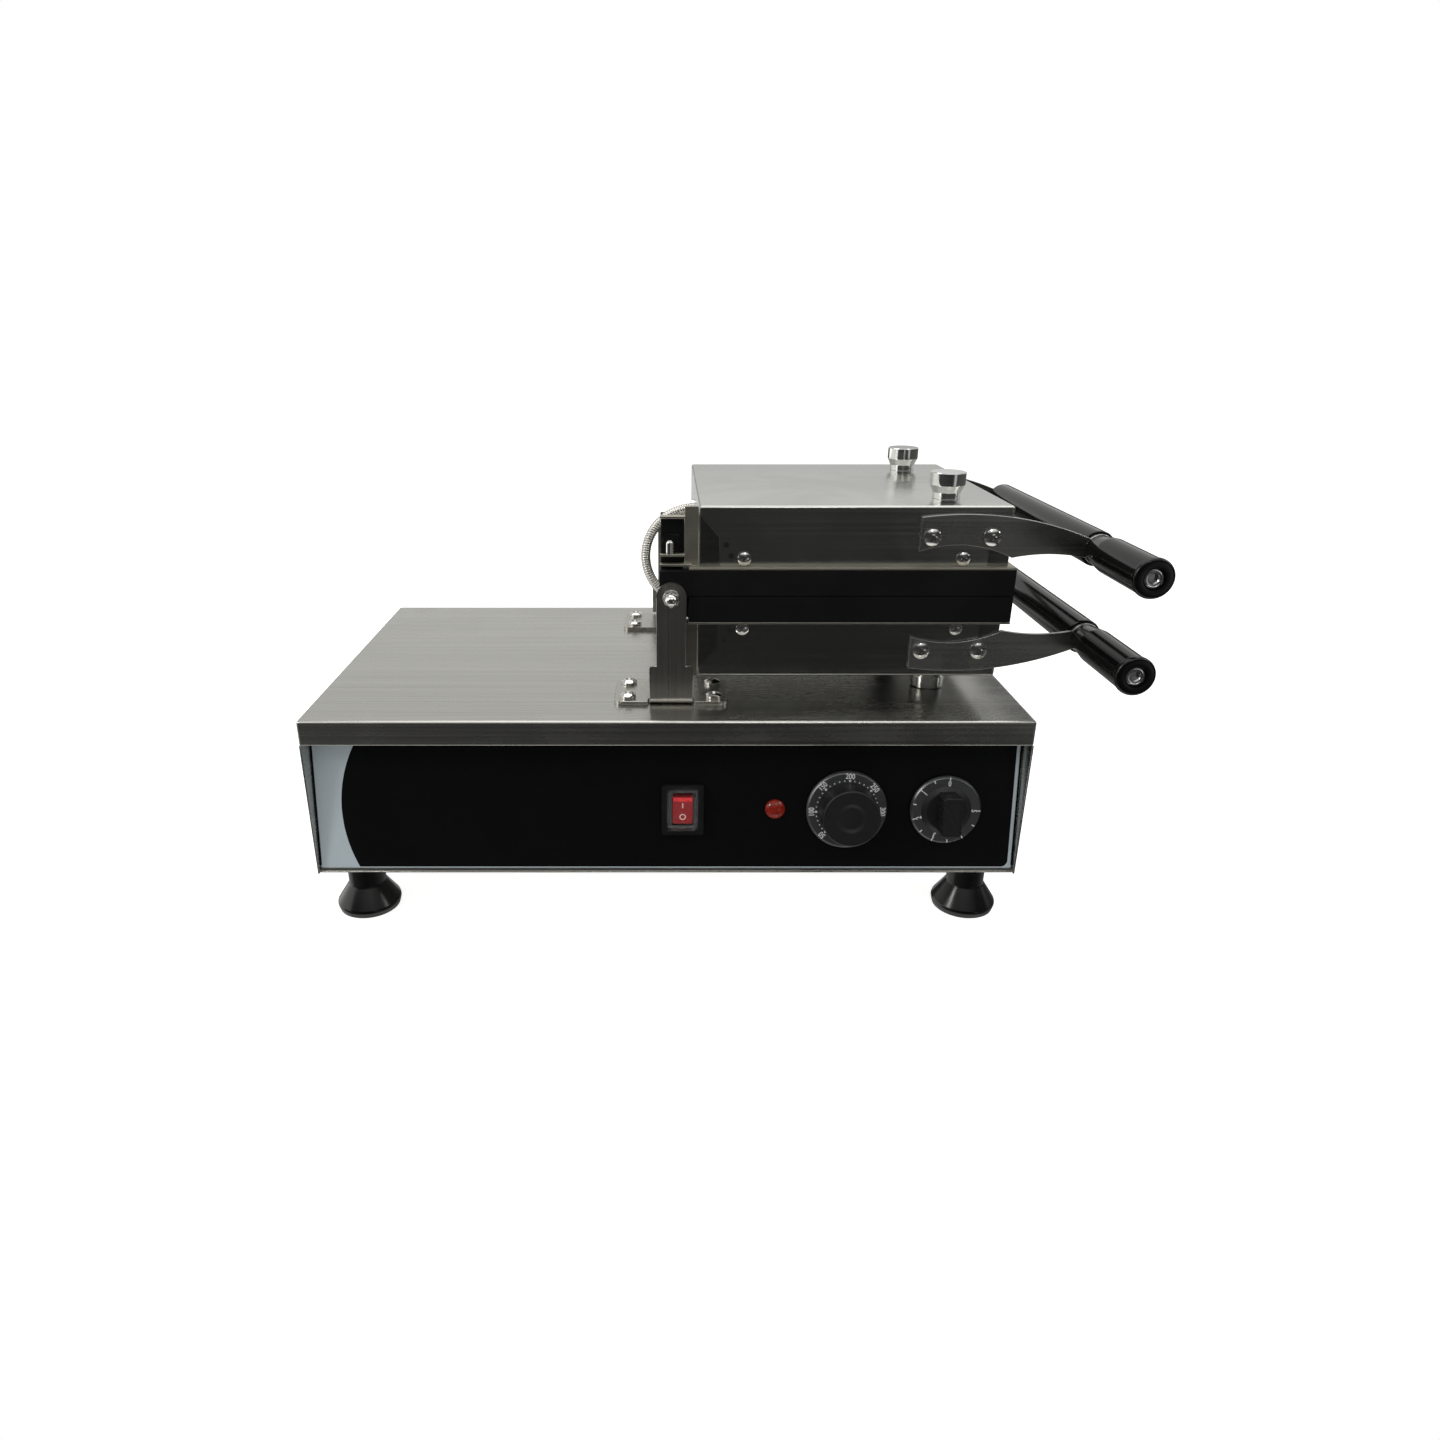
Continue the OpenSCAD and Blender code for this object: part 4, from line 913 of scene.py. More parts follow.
HOSE = SteelFinish(
    "wound_hose", "conduit", colour=(0.66, 0.65, 0.61), roughness=0.24, haze=0.1, contrast=0.05,
)
TUBE = SteelFinish(
    "heater_tube", "heater_sheath", colour=(0.20, 0.18, 0.16), roughness=0.42, haze=0.2,
)
INNER_SHEET = SteelFinish("inner_sheet", "panel_steel", colour=(0.55, 0.55, 0.53), roughness=0.32)
CAST = MouldedFinish(
    "cast_coat", "cast_black", (0.0036, 0.0039, 0.0041), roughness=0.5, haze=0.12, grain=700.0,
    relief=0.00006, specular=0.3,
)
FILM = MouldedFinish(
    "film_black", "panel_film", (0.0048, 0.0048, 0.0056), roughness=0.3, haze=0.05, grain=2600.0,
    relief=0.000003, mottle=0.05, specular=0.25,
)
FILM_SILVER = MouldedFinish(
    "film_silver", "panel_film", (0.70, 0.80, 0.85), roughness=0.42, haze=0.05, grain=1500.0,
    mottle=0.08, relief=0.00001, metallic=0.2,
)
FOOT = MouldedFinish(
    "foot_moulding", "foot_black", (0.005, 0.005, 0.005), roughness=0.18, haze=0.06, grain=260.0,
    relief=0.00002, specular=0.6,
)
KNOB = MouldedFinish(
    "knob_moulding", "knob_black", (0.014, 0.0145, 0.015), roughness=0.38, haze=0.06, grain=1400.0,
    relief=0.00003,
)
SKIRT = MouldedFinish(
    "dial_skirt", "knob_black", (0.18, 0.184, 0.188), roughness=0.28, haze=0.04, grain=2200.0,
    relief=0.000004, metallic=0.78,
)
PRINT = MouldedFinish(
    "dial_print", "knob_black", (0.90, 0.91, 0.91), roughness=0.5, haze=0.0, mottle=0.03,
)
GRIP = MouldedFinish(
    "grip_moulding", "grip_black", (0.003, 0.003, 0.0031), roughness=0.13, haze=0.03, grain=900.0,
    relief=0.000002, specular=0.42,
)
SWITCH = MouldedFinish(
    "switch_moulding", "switch_black", (0.012, 0.012, 0.012), roughness=0.3, haze=0.06,
    grain=1500.0,
)
NYLON = MouldedFinish("gland_nylon", "inner_nylon", (0.02, 0.02, 0.021), roughness=0.45)
HOUSING = MouldedFinish(
    "control_housing", "control_body", (0.66, 0.62, 0.50), roughness=0.5, mottle=0.05,
)
BLANKET = MouldedFinish(
    "fibre_blanket", "blanket", (0.78, 0.76, 0.72), roughness=0.9, haze=0.05, grain=420.0,
    relief=0.0006, specular=0.1,
)
# The rocker holds no lamp: its glow is painted light that brightens the red.
ROCKER = LensFinish(
    "rocker_red", "rocker_red", (0.34, 0.010, 0.013), roughness=0.25, relief=0.00004, glow=0.22,
    specular=0.15,
)
# Painted highlight: a brighter, glowing red for the rocker's upper end, where its face catches
# light from above.
ROCKER_HIGHLIGHT = LensFinish(
    "rocker_highlight_band", "rocker_red", (0.80, 0.03, 0.035), roughness=0.25, relief=0.00004, glow=0.4,
    specular=0.15,
)
ROCKER_MARK = MouldedFinish(
    "rocker_mark", "rocker_red", (0.72, 0.55, 0.5), roughness=0.5, haze=0.0, mottle=0.04,
)
LAMP = LensFinish(
    "lamp_lens", "lamp_red", (0.36, 0.022, 0.010), roughness=0.14, cells=620.0, relief=0.0004,
    glow=0.12,
)
BOOT = LensFinish(
    "clear_boot", "clear_boot", (0.93, 0.95, 0.95), roughness=0.03, transmission=1.0, cells=160.0,
    relief=0.00002, ior=1.25,
)


class Workshop:
    """Turns shapes into the machine's pieces, and gives CAD nodes their finishes."""

    def __init__(self) -> None:
        """Starts with no material made."""
        self.made: dict[str, bpy.types.Material] = {}
        self.count = 0

    def material(self, finish: Finish) -> bpy.types.Material:
        """Returns the material of a finish, made once."""
        if finish.name not in self.made:
            self.made[finish.name] = finish.build()
        return self.made[finish.name]

    def dress(self, finish: Finish, *nodes: str) -> None:
        """Gives CAD nodes that stay a finish.

        Args:
            finish: the finish.
            nodes: the nodes' names.
        """
        for node in nodes:
            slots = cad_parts[node].data.materials
            slots.clear()
            slots.append(self.material(finish))
            LOG.info("finished node %s in %s", node, finish.name)

    def piece(
        self, name: str, shape: Shape, place: Matrix, finish: Finish, body: str | None,
        nodes: Sequence[str] = (), smooth: float = 35.0, weighted: bool = True,
    ) -> bpy.types.Object:
        """Makes a piece from a shape.

        Args:
            name: the piece's name.
            shape: the shape, in millimetres.
            place: the frame that it is drawn in.
            finish: its finish.
            body: the CAD body that it rides on, or none for a piece that rides on no body.
            nodes: the CAD nodes that it stands for.
            smooth: edges sharper than this many degrees stay crisp.
            weighted: shade by the larger faces.

        Returns:
            The piece, at the origin.
        """
        thing = as_object(name, Shape().absorb(shape, place))
        mesh = thing.data
        mesh.materials.append(self.material(finish))
        for polygon in mesh.polygons:
            polygon.use_smooth = True
        mesh.set_sharp_from_angle(angle=math.radians(smooth))
        if weighted:
            even = thing.modifiers.new("even_shading", "WEIGHTED_NORMAL")
            even.keep_sharp = True
        if body:
            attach(thing, body)
        if nodes:
            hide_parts(*nodes)
        self.count += 1
        LOG.info("made piece %s in %s for %s", name, finish.name, ", ".join(nodes) or body)
        return thing

    def soft_copy(
        self, node: str, body: str, finish: Finish, width: float, place: Matrix,
        shortest: float = 1.0, segments: int = 2, keep: Callable[[Vector], bool] | None = None,
    ) -> bpy.types.Object:
        """Replaces a CAD node by a copy of itself with softened edges.

        Args:
            node: the node.
            body: the CAD body that it rides on.
            finish: its finish.
            width: width of the rounding along its edges.
            place: the frame that keep measures in.
            shortest: edges shorter than this stay sharp.
            segments: faces across each rounding.
            keep: says of an edge's middle whether that edge is rounded.

        Returns:
            The piece.
        """
        shape = from_node(node, place).softened(width, segments, 30.0, shortest, keep)
        return self.piece(node + "_soft", shape, place, finish, body, [node])


def solids(node: str, place: Matrix) -> list[Corners]:
    """Measures the separate solids of a CAD node.

    Args:
        node: the node's name.
        place: the frame to measure in.

    Returns:
        The lowest and the highest corner of each solid.
    """
    shape = from_node(node, place)
    waiting = set(shape.bm.verts)
    found = []
    while waiting:
        front = [waiting.pop()]
        low, high = front[0].co.copy(), front[0].co.copy()
        while front:
            vert = front.pop()
            for axis in range(3):
                low[axis] = min(low[axis], vert.co[axis])
                high[axis] = max(high[axis], vert.co[axis])
            near = {edge.other_vert(vert) for edge in vert.link_edges} & waiting
            waiting -= near
            front += near
        found.append((low, high))
    return found


def seat(corners: Corners, outward: Vector, height: float) -> Matrix:
    """Finds where the head of a fastener sits.

    Args:
        corners: lowest and highest corner of the fastener's CAD solid.
        outward: the way that its head faces, along an axis.
        height: height of the head.

    Returns:
        The head's frame, with z outward from its seat.
    """
    low, high = corners
    reach = abs((high - low).dot(outward)) / 2 - height
    middle = (low + high) / 2 + outward * reach
    return Matrix.Translation(middle) @ outward.to_track_quat("Z", "Y").to_matrix().to_4x4()


def across_y(corners: Corners) -> Vector:
    """Returns the way along Y that leads from the machine's middle to a solid."""
    return Vector((0.0, math.copysign(1.0, corners[0].y + corners[1].y), 0.0))


def screw_heads(
    node: str, place: Matrix, size: Point, outward: Callable[[Corners], Vector] = across_y
) -> Shape:
    """Draws a pan head on each screw of a CAD node.

    Args:
        node: the node of the screws.
        place: the frame to draw in.
        size: diameter and height of the heads.
        outward: gives the way that a head faces, from the corners of its solid.

    Returns:
        The heads.
    """
    head = pan_screw(*size)
    heads = Shape()
    for corners in solids(node, place):
        heads.absorb(head, seat(corners, outward(corners), size[1]))
    return heads


# --------------------------------------------------------------- the base


@dataclass
class Housing:
    """The base's folded steel case with its screws and feet."""

    shop: Workshop
    sheet: float = 1.5
    fold: float = 2.2
    hem: float = 1.1
    screw_head: Point = (7.0, 2.2)
    feed_hole: Triple = (-0.5, -62.0, 4.2)
    foot_outline: tuple[Point, ...] = (
        (0.0, 0.0), (22.7, 0.0), (23.3, 0.4), (24.3, 3.9), (24.5, 5.0), (24.4, 6.0), (24.1, 7.0),
        (15.0, 20.9), (14.5, 21.8), (14.25, 22.5), (14.25, 42.95), (0.0, 42.95),
    )

    def build(self) -> None:
        """Builds the case, its screws and its feet."""
        place = LAYOUT.base()
        self.shop.piece("case_top", self.top(), place, SHEET, "base", ["base_top"])
        for node in ("left_side_panel", "right_side_panel", "rear_panel", "bottom_plate"):
            self.shop.soft_copy(node, "base", SHEET, 0.45, place, shortest=12.0)
        foot = lathe(self.foot_outline, steps=72)
        feet = Shape()
        for corners in solids("feet", place):
            feet.absorb(foot, Matrix.Translation(((corners[0] + corners[1]) / 2).to_2d().to_3d()))
        self.shop.piece("moulded_feet", feet, place, FOOT, "base", ["feet"], smooth=40.0)
        self.shop.dress(TURNED, "foot_studs")
        self.shop.soft_copy("cable_gland", "base", NYLON, 0.0, place)
        heads = screw_heads("case_screws", place, self.screw_head, self.outward)
        self.shop.piece("case_screw_heads", heads, place, CHROME, "base", ["case_screws"])

    def top(self) -> Shape:
        """Returns the top tray, with its folded edges and the hole for the feed hose."""
        half_w, half_d = LAYOUT.half_w, LAYOUT.half_d
        tray = open_box(
            (-half_w, -half_d, LAYOUT.lip_z), (half_w, half_d, LAYOUT.top_z), self.sheet, self.fold
        )
        inner_w, inner_d = half_w - self.sheet / 2, half_d - self.sheet / 2

        def outer_hem(middle: Vector) -> bool:
            """Says whether an edge lies on the outside of the tray's open rim."""
            outside = abs(middle.x) > inner_w or abs(middle.y) > inner_d
            return outside and middle.z < LAYOUT.lip_z + 0.01

        tray.softened(self.hem, segments=4, keep=outer_hem)
        x, y, radius = self.feed_hole
        drill = prism(32, 2 * radius, LAYOUT.top_z - 5, LAYOUT.top_z + 5)
        return tray.carved(drill.moved(Matrix.Translation((x, y, 0.0))))

    @staticmethod
    def outward(corners: Corners) -> Vector:
        """Returns the way that a case screw faces: down from the floor, or to the rear."""
        below = corners[0].z < LAYOUT.foot_h
        return Vector((0.0, 0.0, -1.0)) if below else Vector((0.0, 1.0, 0.0))


@dataclass
class PanelFilm:
    """The printed film on the control panel: silver, mostly printed black, with painted gap shadow
    at its sides.
    """

    shop: Workshop
    left: float = -263.2
    right: float = 263.0
    gap_shadow_strip: float = 0.9
    low: float = 3.5
    high: float = 107.2
    border: float = 3.4
    foot_border: float = 0.9
    corner: float = 5.0
    levels: Triple = (0.02, 0.3, 0.39)
    swoop_middle: Point = (-136.9, 50.5)
    swoop_radius: float = 106.8
    switch_hole: Point = (22.4, 30.4)
    bush_hole: float = 10.4

    def openings(self) -> list[list[Point]]:
        """Returns the outlines of the openings for the controls."""
        up = LAYOUT.control_up
        bushes = (LAYOUT.lamp_x, LAYOUT.temperature_x, LAYOUT.timer_x)
        rounds = [arc((x, up), self.bush_hole / 2, 0.0, 350.0, 35) for x in bushes]
        return [round_corners(*self.switch_hole, 1.0, (LAYOUT.switch_x, up)), *rounds]

    def build(self) -> None:
        """Builds the silver sheet, the black print on it, and black strips at its sides as painted
        gap shadow.
        """
        middle = ((self.left + self.right) / 2, (self.low + self.high) / 2)
        sheet = round_corners(self.right - self.left, self.high - self.low, 2.0, middle)
        x, y = self.swoop_middle
        foot = self.low + self.foot_border
        start = math.degrees(math.asin((self.high - y) / self.swoop_radius))
        end = math.degrees(math.asin((y - foot) / self.swoop_radius))
        print_area = arc((x, y), self.swoop_radius, 180.0 - start, 180.0 + end, 36)
        edge = self.right - self.border
        print_area += arc((edge - self.corner, foot + self.corner), self.corner, -90.0, 0.0, 8)
        print_area.append((edge, self.high))
        back, face, print_face = self.levels
        silver = plate([sheet, *self.openings()], back, face)
        black = plate([print_area, *self.openings()], face, print_face)
        # Thin black strips along both side edges are painted shadow of the gaps next to the side
        # panels.
        for start in (self.left, self.right - self.gap_shadow_strip):
            low = (start, self.low + 2.0, face)
            black.absorb(cuboid(low, (start + self.gap_shadow_strip, self.high - 2.0, print_face)))
        for name, shape, finish in (
            ("film_sheet", silver, FILM_SILVER), ("film_print_and_gap_shadow", black, FILM),
        ):
            self.shop.piece(
                name, shape, LAYOUT.panel(), finish, "base", ["panel_film"], weighted=False
            )


@dataclass
class Dial:
    """A control knob with figures and marks printed on its skirt."""

    shop: Workshop
    name: str
    across: float
    skirt_radius: float
    figures: dict[str, float]
    ring: float
    type_height: float
    squeeze: float = 0.8
    rings: int = 40
    skirt_top: float = 4.8
    ridge: float = 0.04
    ridge_step: float = 0.175

    @property
    def place(self) -> Matrix:
        """Returns the knob's frame on the panel."""
        return LAYOUT.panel(self.across, LAYOUT.control_up)

    def finish(self, part: str, shape: Shape, finish: Finish) -> None:
        """Makes one piece of the knob.

        Args:
            part: what the piece is.
            shape: the shape, in the knob's frame.
            finish: its finish.
        """
        self.shop.piece(
            f"{self.name}_{part}", shape, self.place, finish, f"{self.name}_dial",
            [f"{self.name}_knob"],
        )

    def skirt(self) -> Shape:
        """Returns the round skirt."""
        rim = self.skirt_radius
        outline = [
            (0.0, 1.6), (rim - 0.3, 1.6), (rim, 1.9), (rim, 2.9), (rim - 0.25, 3.5),
            (rim - 1.35, 4.65), (rim - 1.75, self.skirt_top),
        ]
        trough = self.skirt_top - self.ridge
        for step in range(self.rings):
            radius = rim - 1.85 - self.ridge_step * step
            outline.append((radius, trough + self.ridge * (step % 2)))
        return lathe([*outline, (0.0, trough)], steps=96)

    def turned(self, degrees: float, radius: float = 0.0) -> Matrix:
        """Places a mark on the skirt.

        Args:
            degrees: clockwise from the top.
            radius: distance from the knob's middle.

        Returns:
            The mark's frame, with y outward.
        """
        turn = Matrix.Rotation(-math.radians(degrees), 4, "Z")
        return turn @ Matrix.Translation((0.0, radius, self.skirt_top))

    def print_figures(self) -> Shape:
        """Returns the figures, each with its head outwards."""
        marks = Shape()
        narrow = Matrix.Scale(self.squeeze, 4, (1.0, 0.0, 0.0))
        for text, degrees in self.figures.items():
            place = self.turned(degrees, self.ring) @ narrow
            marks.absorb(lettering(text, self.type_height), place)
        return marks


@dataclass
class TemperatureDial(Dial):
    """The large knob that sets the temperature, with a dot for every ten degrees."""

    cap_outline: tuple[Point, ...] = (
        (0.0, 3.2), (21.6, 3.2), (21.6, 5.0), (21.35, 23.4), (21.25, 24.0), (20.95, 24.55),
        (20.4, 24.9), (19.6, 25.0), (11.6, 24.55), (10.9, 24.4), (10.2, 24.05), (8.4, 23.3),
        (7.6, 23.1), (0.0, 23.0),
    )

    def build(self) -> None:
        """Builds the skirt, the cap and the print."""
        self.finish("skirt", self.skirt(), SKIRT)
        self.finish("cap", lathe(self.cap_outline, steps=96), KNOB)
        marks = self.print_figures()
        for value, turn in self.dots():
            size = 1.8 if value % 50 == 0 else 1.0
            marks.absorb(prism(12, size, 0.0, PRINT_DEPTH), self.turned(turn, self.ring - 3.3))
        self.finish("print", marks, PRINT)

    def dots(self) -> list[tuple[int, float]]:
        """Returns the value and the turn of every dot on the skirt."""
        steps = sorted((int(text), degrees) for text, degrees in self.figures.items())
        found = [steps[-1]]
        for (low, start), (high, end) in zip(steps, steps[1:]):
            for value in range(low, high, 10):
                found.append((value, start + (end - start) * (value - low) / (high - low)))
        return found


@dataclass
class TimerDial(Dial):
    """The bar knob that sets the time, with a tick for every half minute."""

    bar: Triple = (14.0, 30.0, 23.0)
    flute: Point = (2.6, 4.9)
    boss_outline: tuple[Point, ...] = (
        (0.0, 3.2), (19.0, 3.2), (18.7, 4.9), (15.7, 6.7), (15.0, 7.0), (14.2, 7.2), (0.0, 7.2),
    )

    def build(self) -> None:
        """Builds the skirt, the bar on its boss, and the print."""
        self.finish("skirt", self.skirt(), SKIRT)
        self.finish("grip", self.grip(), KNOB)
        marks = self.print_figures()
        turns = sorted(self.figures.values(), reverse=True)
        halves = [(first + second) / 2 for first, second in zip(turns, turns[1:])]
        tick = cuboid((-0.4, 0.0, 0.0), (0.4, 2.4, PRINT_DEPTH))
        for reach, ticks in ((2.6, turns), (2.2, halves)):
            for turn in ticks:
                marks.absorb(tick, self.turned(turn, self.ring + reach))
        self.finish("print", marks, PRINT)

    def grip(self) -> Shape:
        """Returns the finger bar, fluted along its sides, with its boss."""
        width, length, height = self.bar
        bar = plate([round_corners(width, length, 2.0)], 6.0, height)
        bar.softened(0.7, segments=3, keep=lambda middle: middle.z > height - 0.1)
        level = [f for f in bar.bm.faces if f.calc_center_median().z > height - 0.001]
        top = max(level, key=lambda face: face.calc_area())
        bmesh.ops.inset_region(bar.bm, faces=[top], thickness=0.8, depth=0.0)
        bmesh.ops.inset_region(bar.bm, faces=[top], thickness=0.3, depth=-0.45)
        across, pitch = self.flute
        cutter = prism(12, across, 8.0, height + 1.0)
        flutes = Shape()
        for side in (-1, 1):
            for step in range(-2, 3):
                place = Matrix.Translation((side * (width / 2 + 0.6), step * pitch, 0.0))
                flutes.absorb(cutter, place)
        return bar.carved(flutes).absorb(lathe(self.boss_outline, steps=72))


@dataclass
class Controls:
    """The switch, the lamp and the two dials on the panel."""

    shop: Workshop
    rocker_tilt: float = 10.0
    rocker_axis: float = 2.4
    rocker_slope: float = math.atan(0.8 / 11.3)
    lamp_outline: tuple[Point, ...] = (
        (0.0, 0.45), (7.2, 0.45), (7.5, 0.75), (7.5, 1.6), (7.2, 2.2), (6.3, 3.1), (5.2, 4.0),
        (3.9, 4.75), (2.2, 5.25), (0.0, 5.4),
    )

    def build(self) -> None:
        """Builds the controls."""
        PanelFilm(self.shop).build()
        copy = self.shop.soft_copy
        copy("control_panel", "base", INNER_SHEET, 0.4, LAYOUT.base(), shortest=12.0)
        place = LAYOUT.panel(LAYOUT.switch_x, LAYOUT.control_up)
        copy("switch_body", "base", SWITCH, 0.5, place, keep=lambda middle: middle.z > 0.5)
        copy("switch_boot", "base", BOOT, 0.5, place, keep=lambda middle: middle.z > 4.0)
        self.rocker(place)
        lamp = LAYOUT.panel(LAYOUT.lamp_x, LAYOUT.control_up)
        lens = lathe(self.lamp_outline, steps=72)
        self.shop.piece("lamp_lens", lens, lamp, LAMP, "base", ["heat_lamp"])
        self.shop.dress(NYLON, "lamp_housing")
        self.shop.dress(HOUSING, "thermostat", "timer", "terminal_block")
        self.shop.dress(TURNED, "temperature_shaft", "timer_shaft")
        TemperatureDial(
            self.shop, "temperature", LAYOUT.temperature_x, 30.25,
            {"50": -137.0, "100": -92.5, "150": -45.0, "200": 3.0, "250": 48.5, "300": 92.0},
            ring=26.4, type_height=5.9,
        ).build()
        TimerDial(
            self.shop, "timer", LAYOUT.timer_x, 26.5,
            {"0": 4.0, "1": -51.0, "2": -106.0, "3": -158.0, "4": -212.0, "5": -269.0},
            ring=20.7, type_height=5.6, rings=26,
        ).build()

    def rocker(self, place: Matrix) -> None:
        """Builds the rocker, its upper end band painted brighter as a highlight from above, and the
        plain marks on its face.

        Args:
            place: the switch's frame on the panel.
        """
        tilt = Matrix.Rotation(math.radians(self.rocker_tilt), 4, "X")
        axis = place @ Matrix.Translation((0.0, 0.0, self.rocker_axis)) @ tilt
        self.shop.soft_copy("power_rocker", "rocker", ROCKER, 0.5, axis, shortest=3.0)
        slope, end = self.rocker_slope, 10.7
        # This band along the rocker's upper end is painted brighter and glows, as a highlight from
        # above.
        band = cuboid((-6.8, 7.4, 1.28), (6.8, end, 1.62))
        for vert in band.bm.verts:
            vert.co.z += (vert.co.y - end) * math.tan(slope)
        band.softened(0.12, shortest=0.5)
        marks = Shape()
        upper = Matrix.Translation((0.0, 3.9, 1.08)) @ Matrix.Rotation(slope, 4, "X")
        lower = Matrix.Translation((0.0, -5.6, 1.2)) @ Matrix.Rotation(-slope, 4, "X")
        marks.absorb(cuboid((-0.38, -2.1, 0.0), (0.38, 2.1, 0.08)), upper)
        marks.absorb(lathe([(1.7, 0.0), (2.4, 0.0), (2.4, 0.08), (1.7, 0.08)], steps=40), lower)
        for name, shape, finish in (
            ("rocker_highlight_band", band, ROCKER_HIGHLIGHT), ("rocker_marks", marks, ROCKER_MARK),
        ):
            self.shop.piece(name, shape, axis, finish, "rocker", ["power_rocker"])


@dataclass
class HingeStand:
    """The two brackets that carry the irons, with their screws, bolts and nuts."""

    shop: Workshop

    def build(self) -> None:
        """Builds the stand."""
        place = LAYOUT.base()
        for node in ("front_bracket", "rear_bracket"):
            self.shop.soft_copy(node, "base", BRACKET, 0.5, place, shortest=1.5)
        heads = screw_heads(
            "bracket_screws", place, LARGE_HEAD, lambda corners: Vector((0.0, 0.0, 1.0))
        )
        self.shop.dress(CHROME, "bracket_nuts")
        nut = acorn_nut(10.0, 5.0)
        nuts = Shape()
        for corners in solids("pivot_nuts", place):
            nuts.absorb(nut, seat(corners, across_y(corners), corners[1].y - corners[0].y))
        washers = Shape()
        for corners in solids("pivot_washers", place):
            thick = corners[1].y - corners[0].y
            ring = [
                (3.1, 0.0), (5.8, 0.0), (5.98, 0.2), (5.98, thick - 0.2), (5.8, thick),
                (3.1, thick),
            ]
            washers.absorb(lathe(ring, steps=56), seat(corners, across_y(corners), thick))
        for name, shape, node in (
            ("bracket_screw_heads", heads, "bracket_screws"),
            ("domed_nuts", nuts, "pivot_nuts"),
            ("bright_washers", washers, "pivot_washers"),
        ):
            self.shop.piece(name, shape, place, CHROME, "base", [node])
        self.shop.soft_copy("pivot_bolts", "base", CHROME, 0.4, place, shortest=3.0)


# -------------------------------------------------------------- the irons


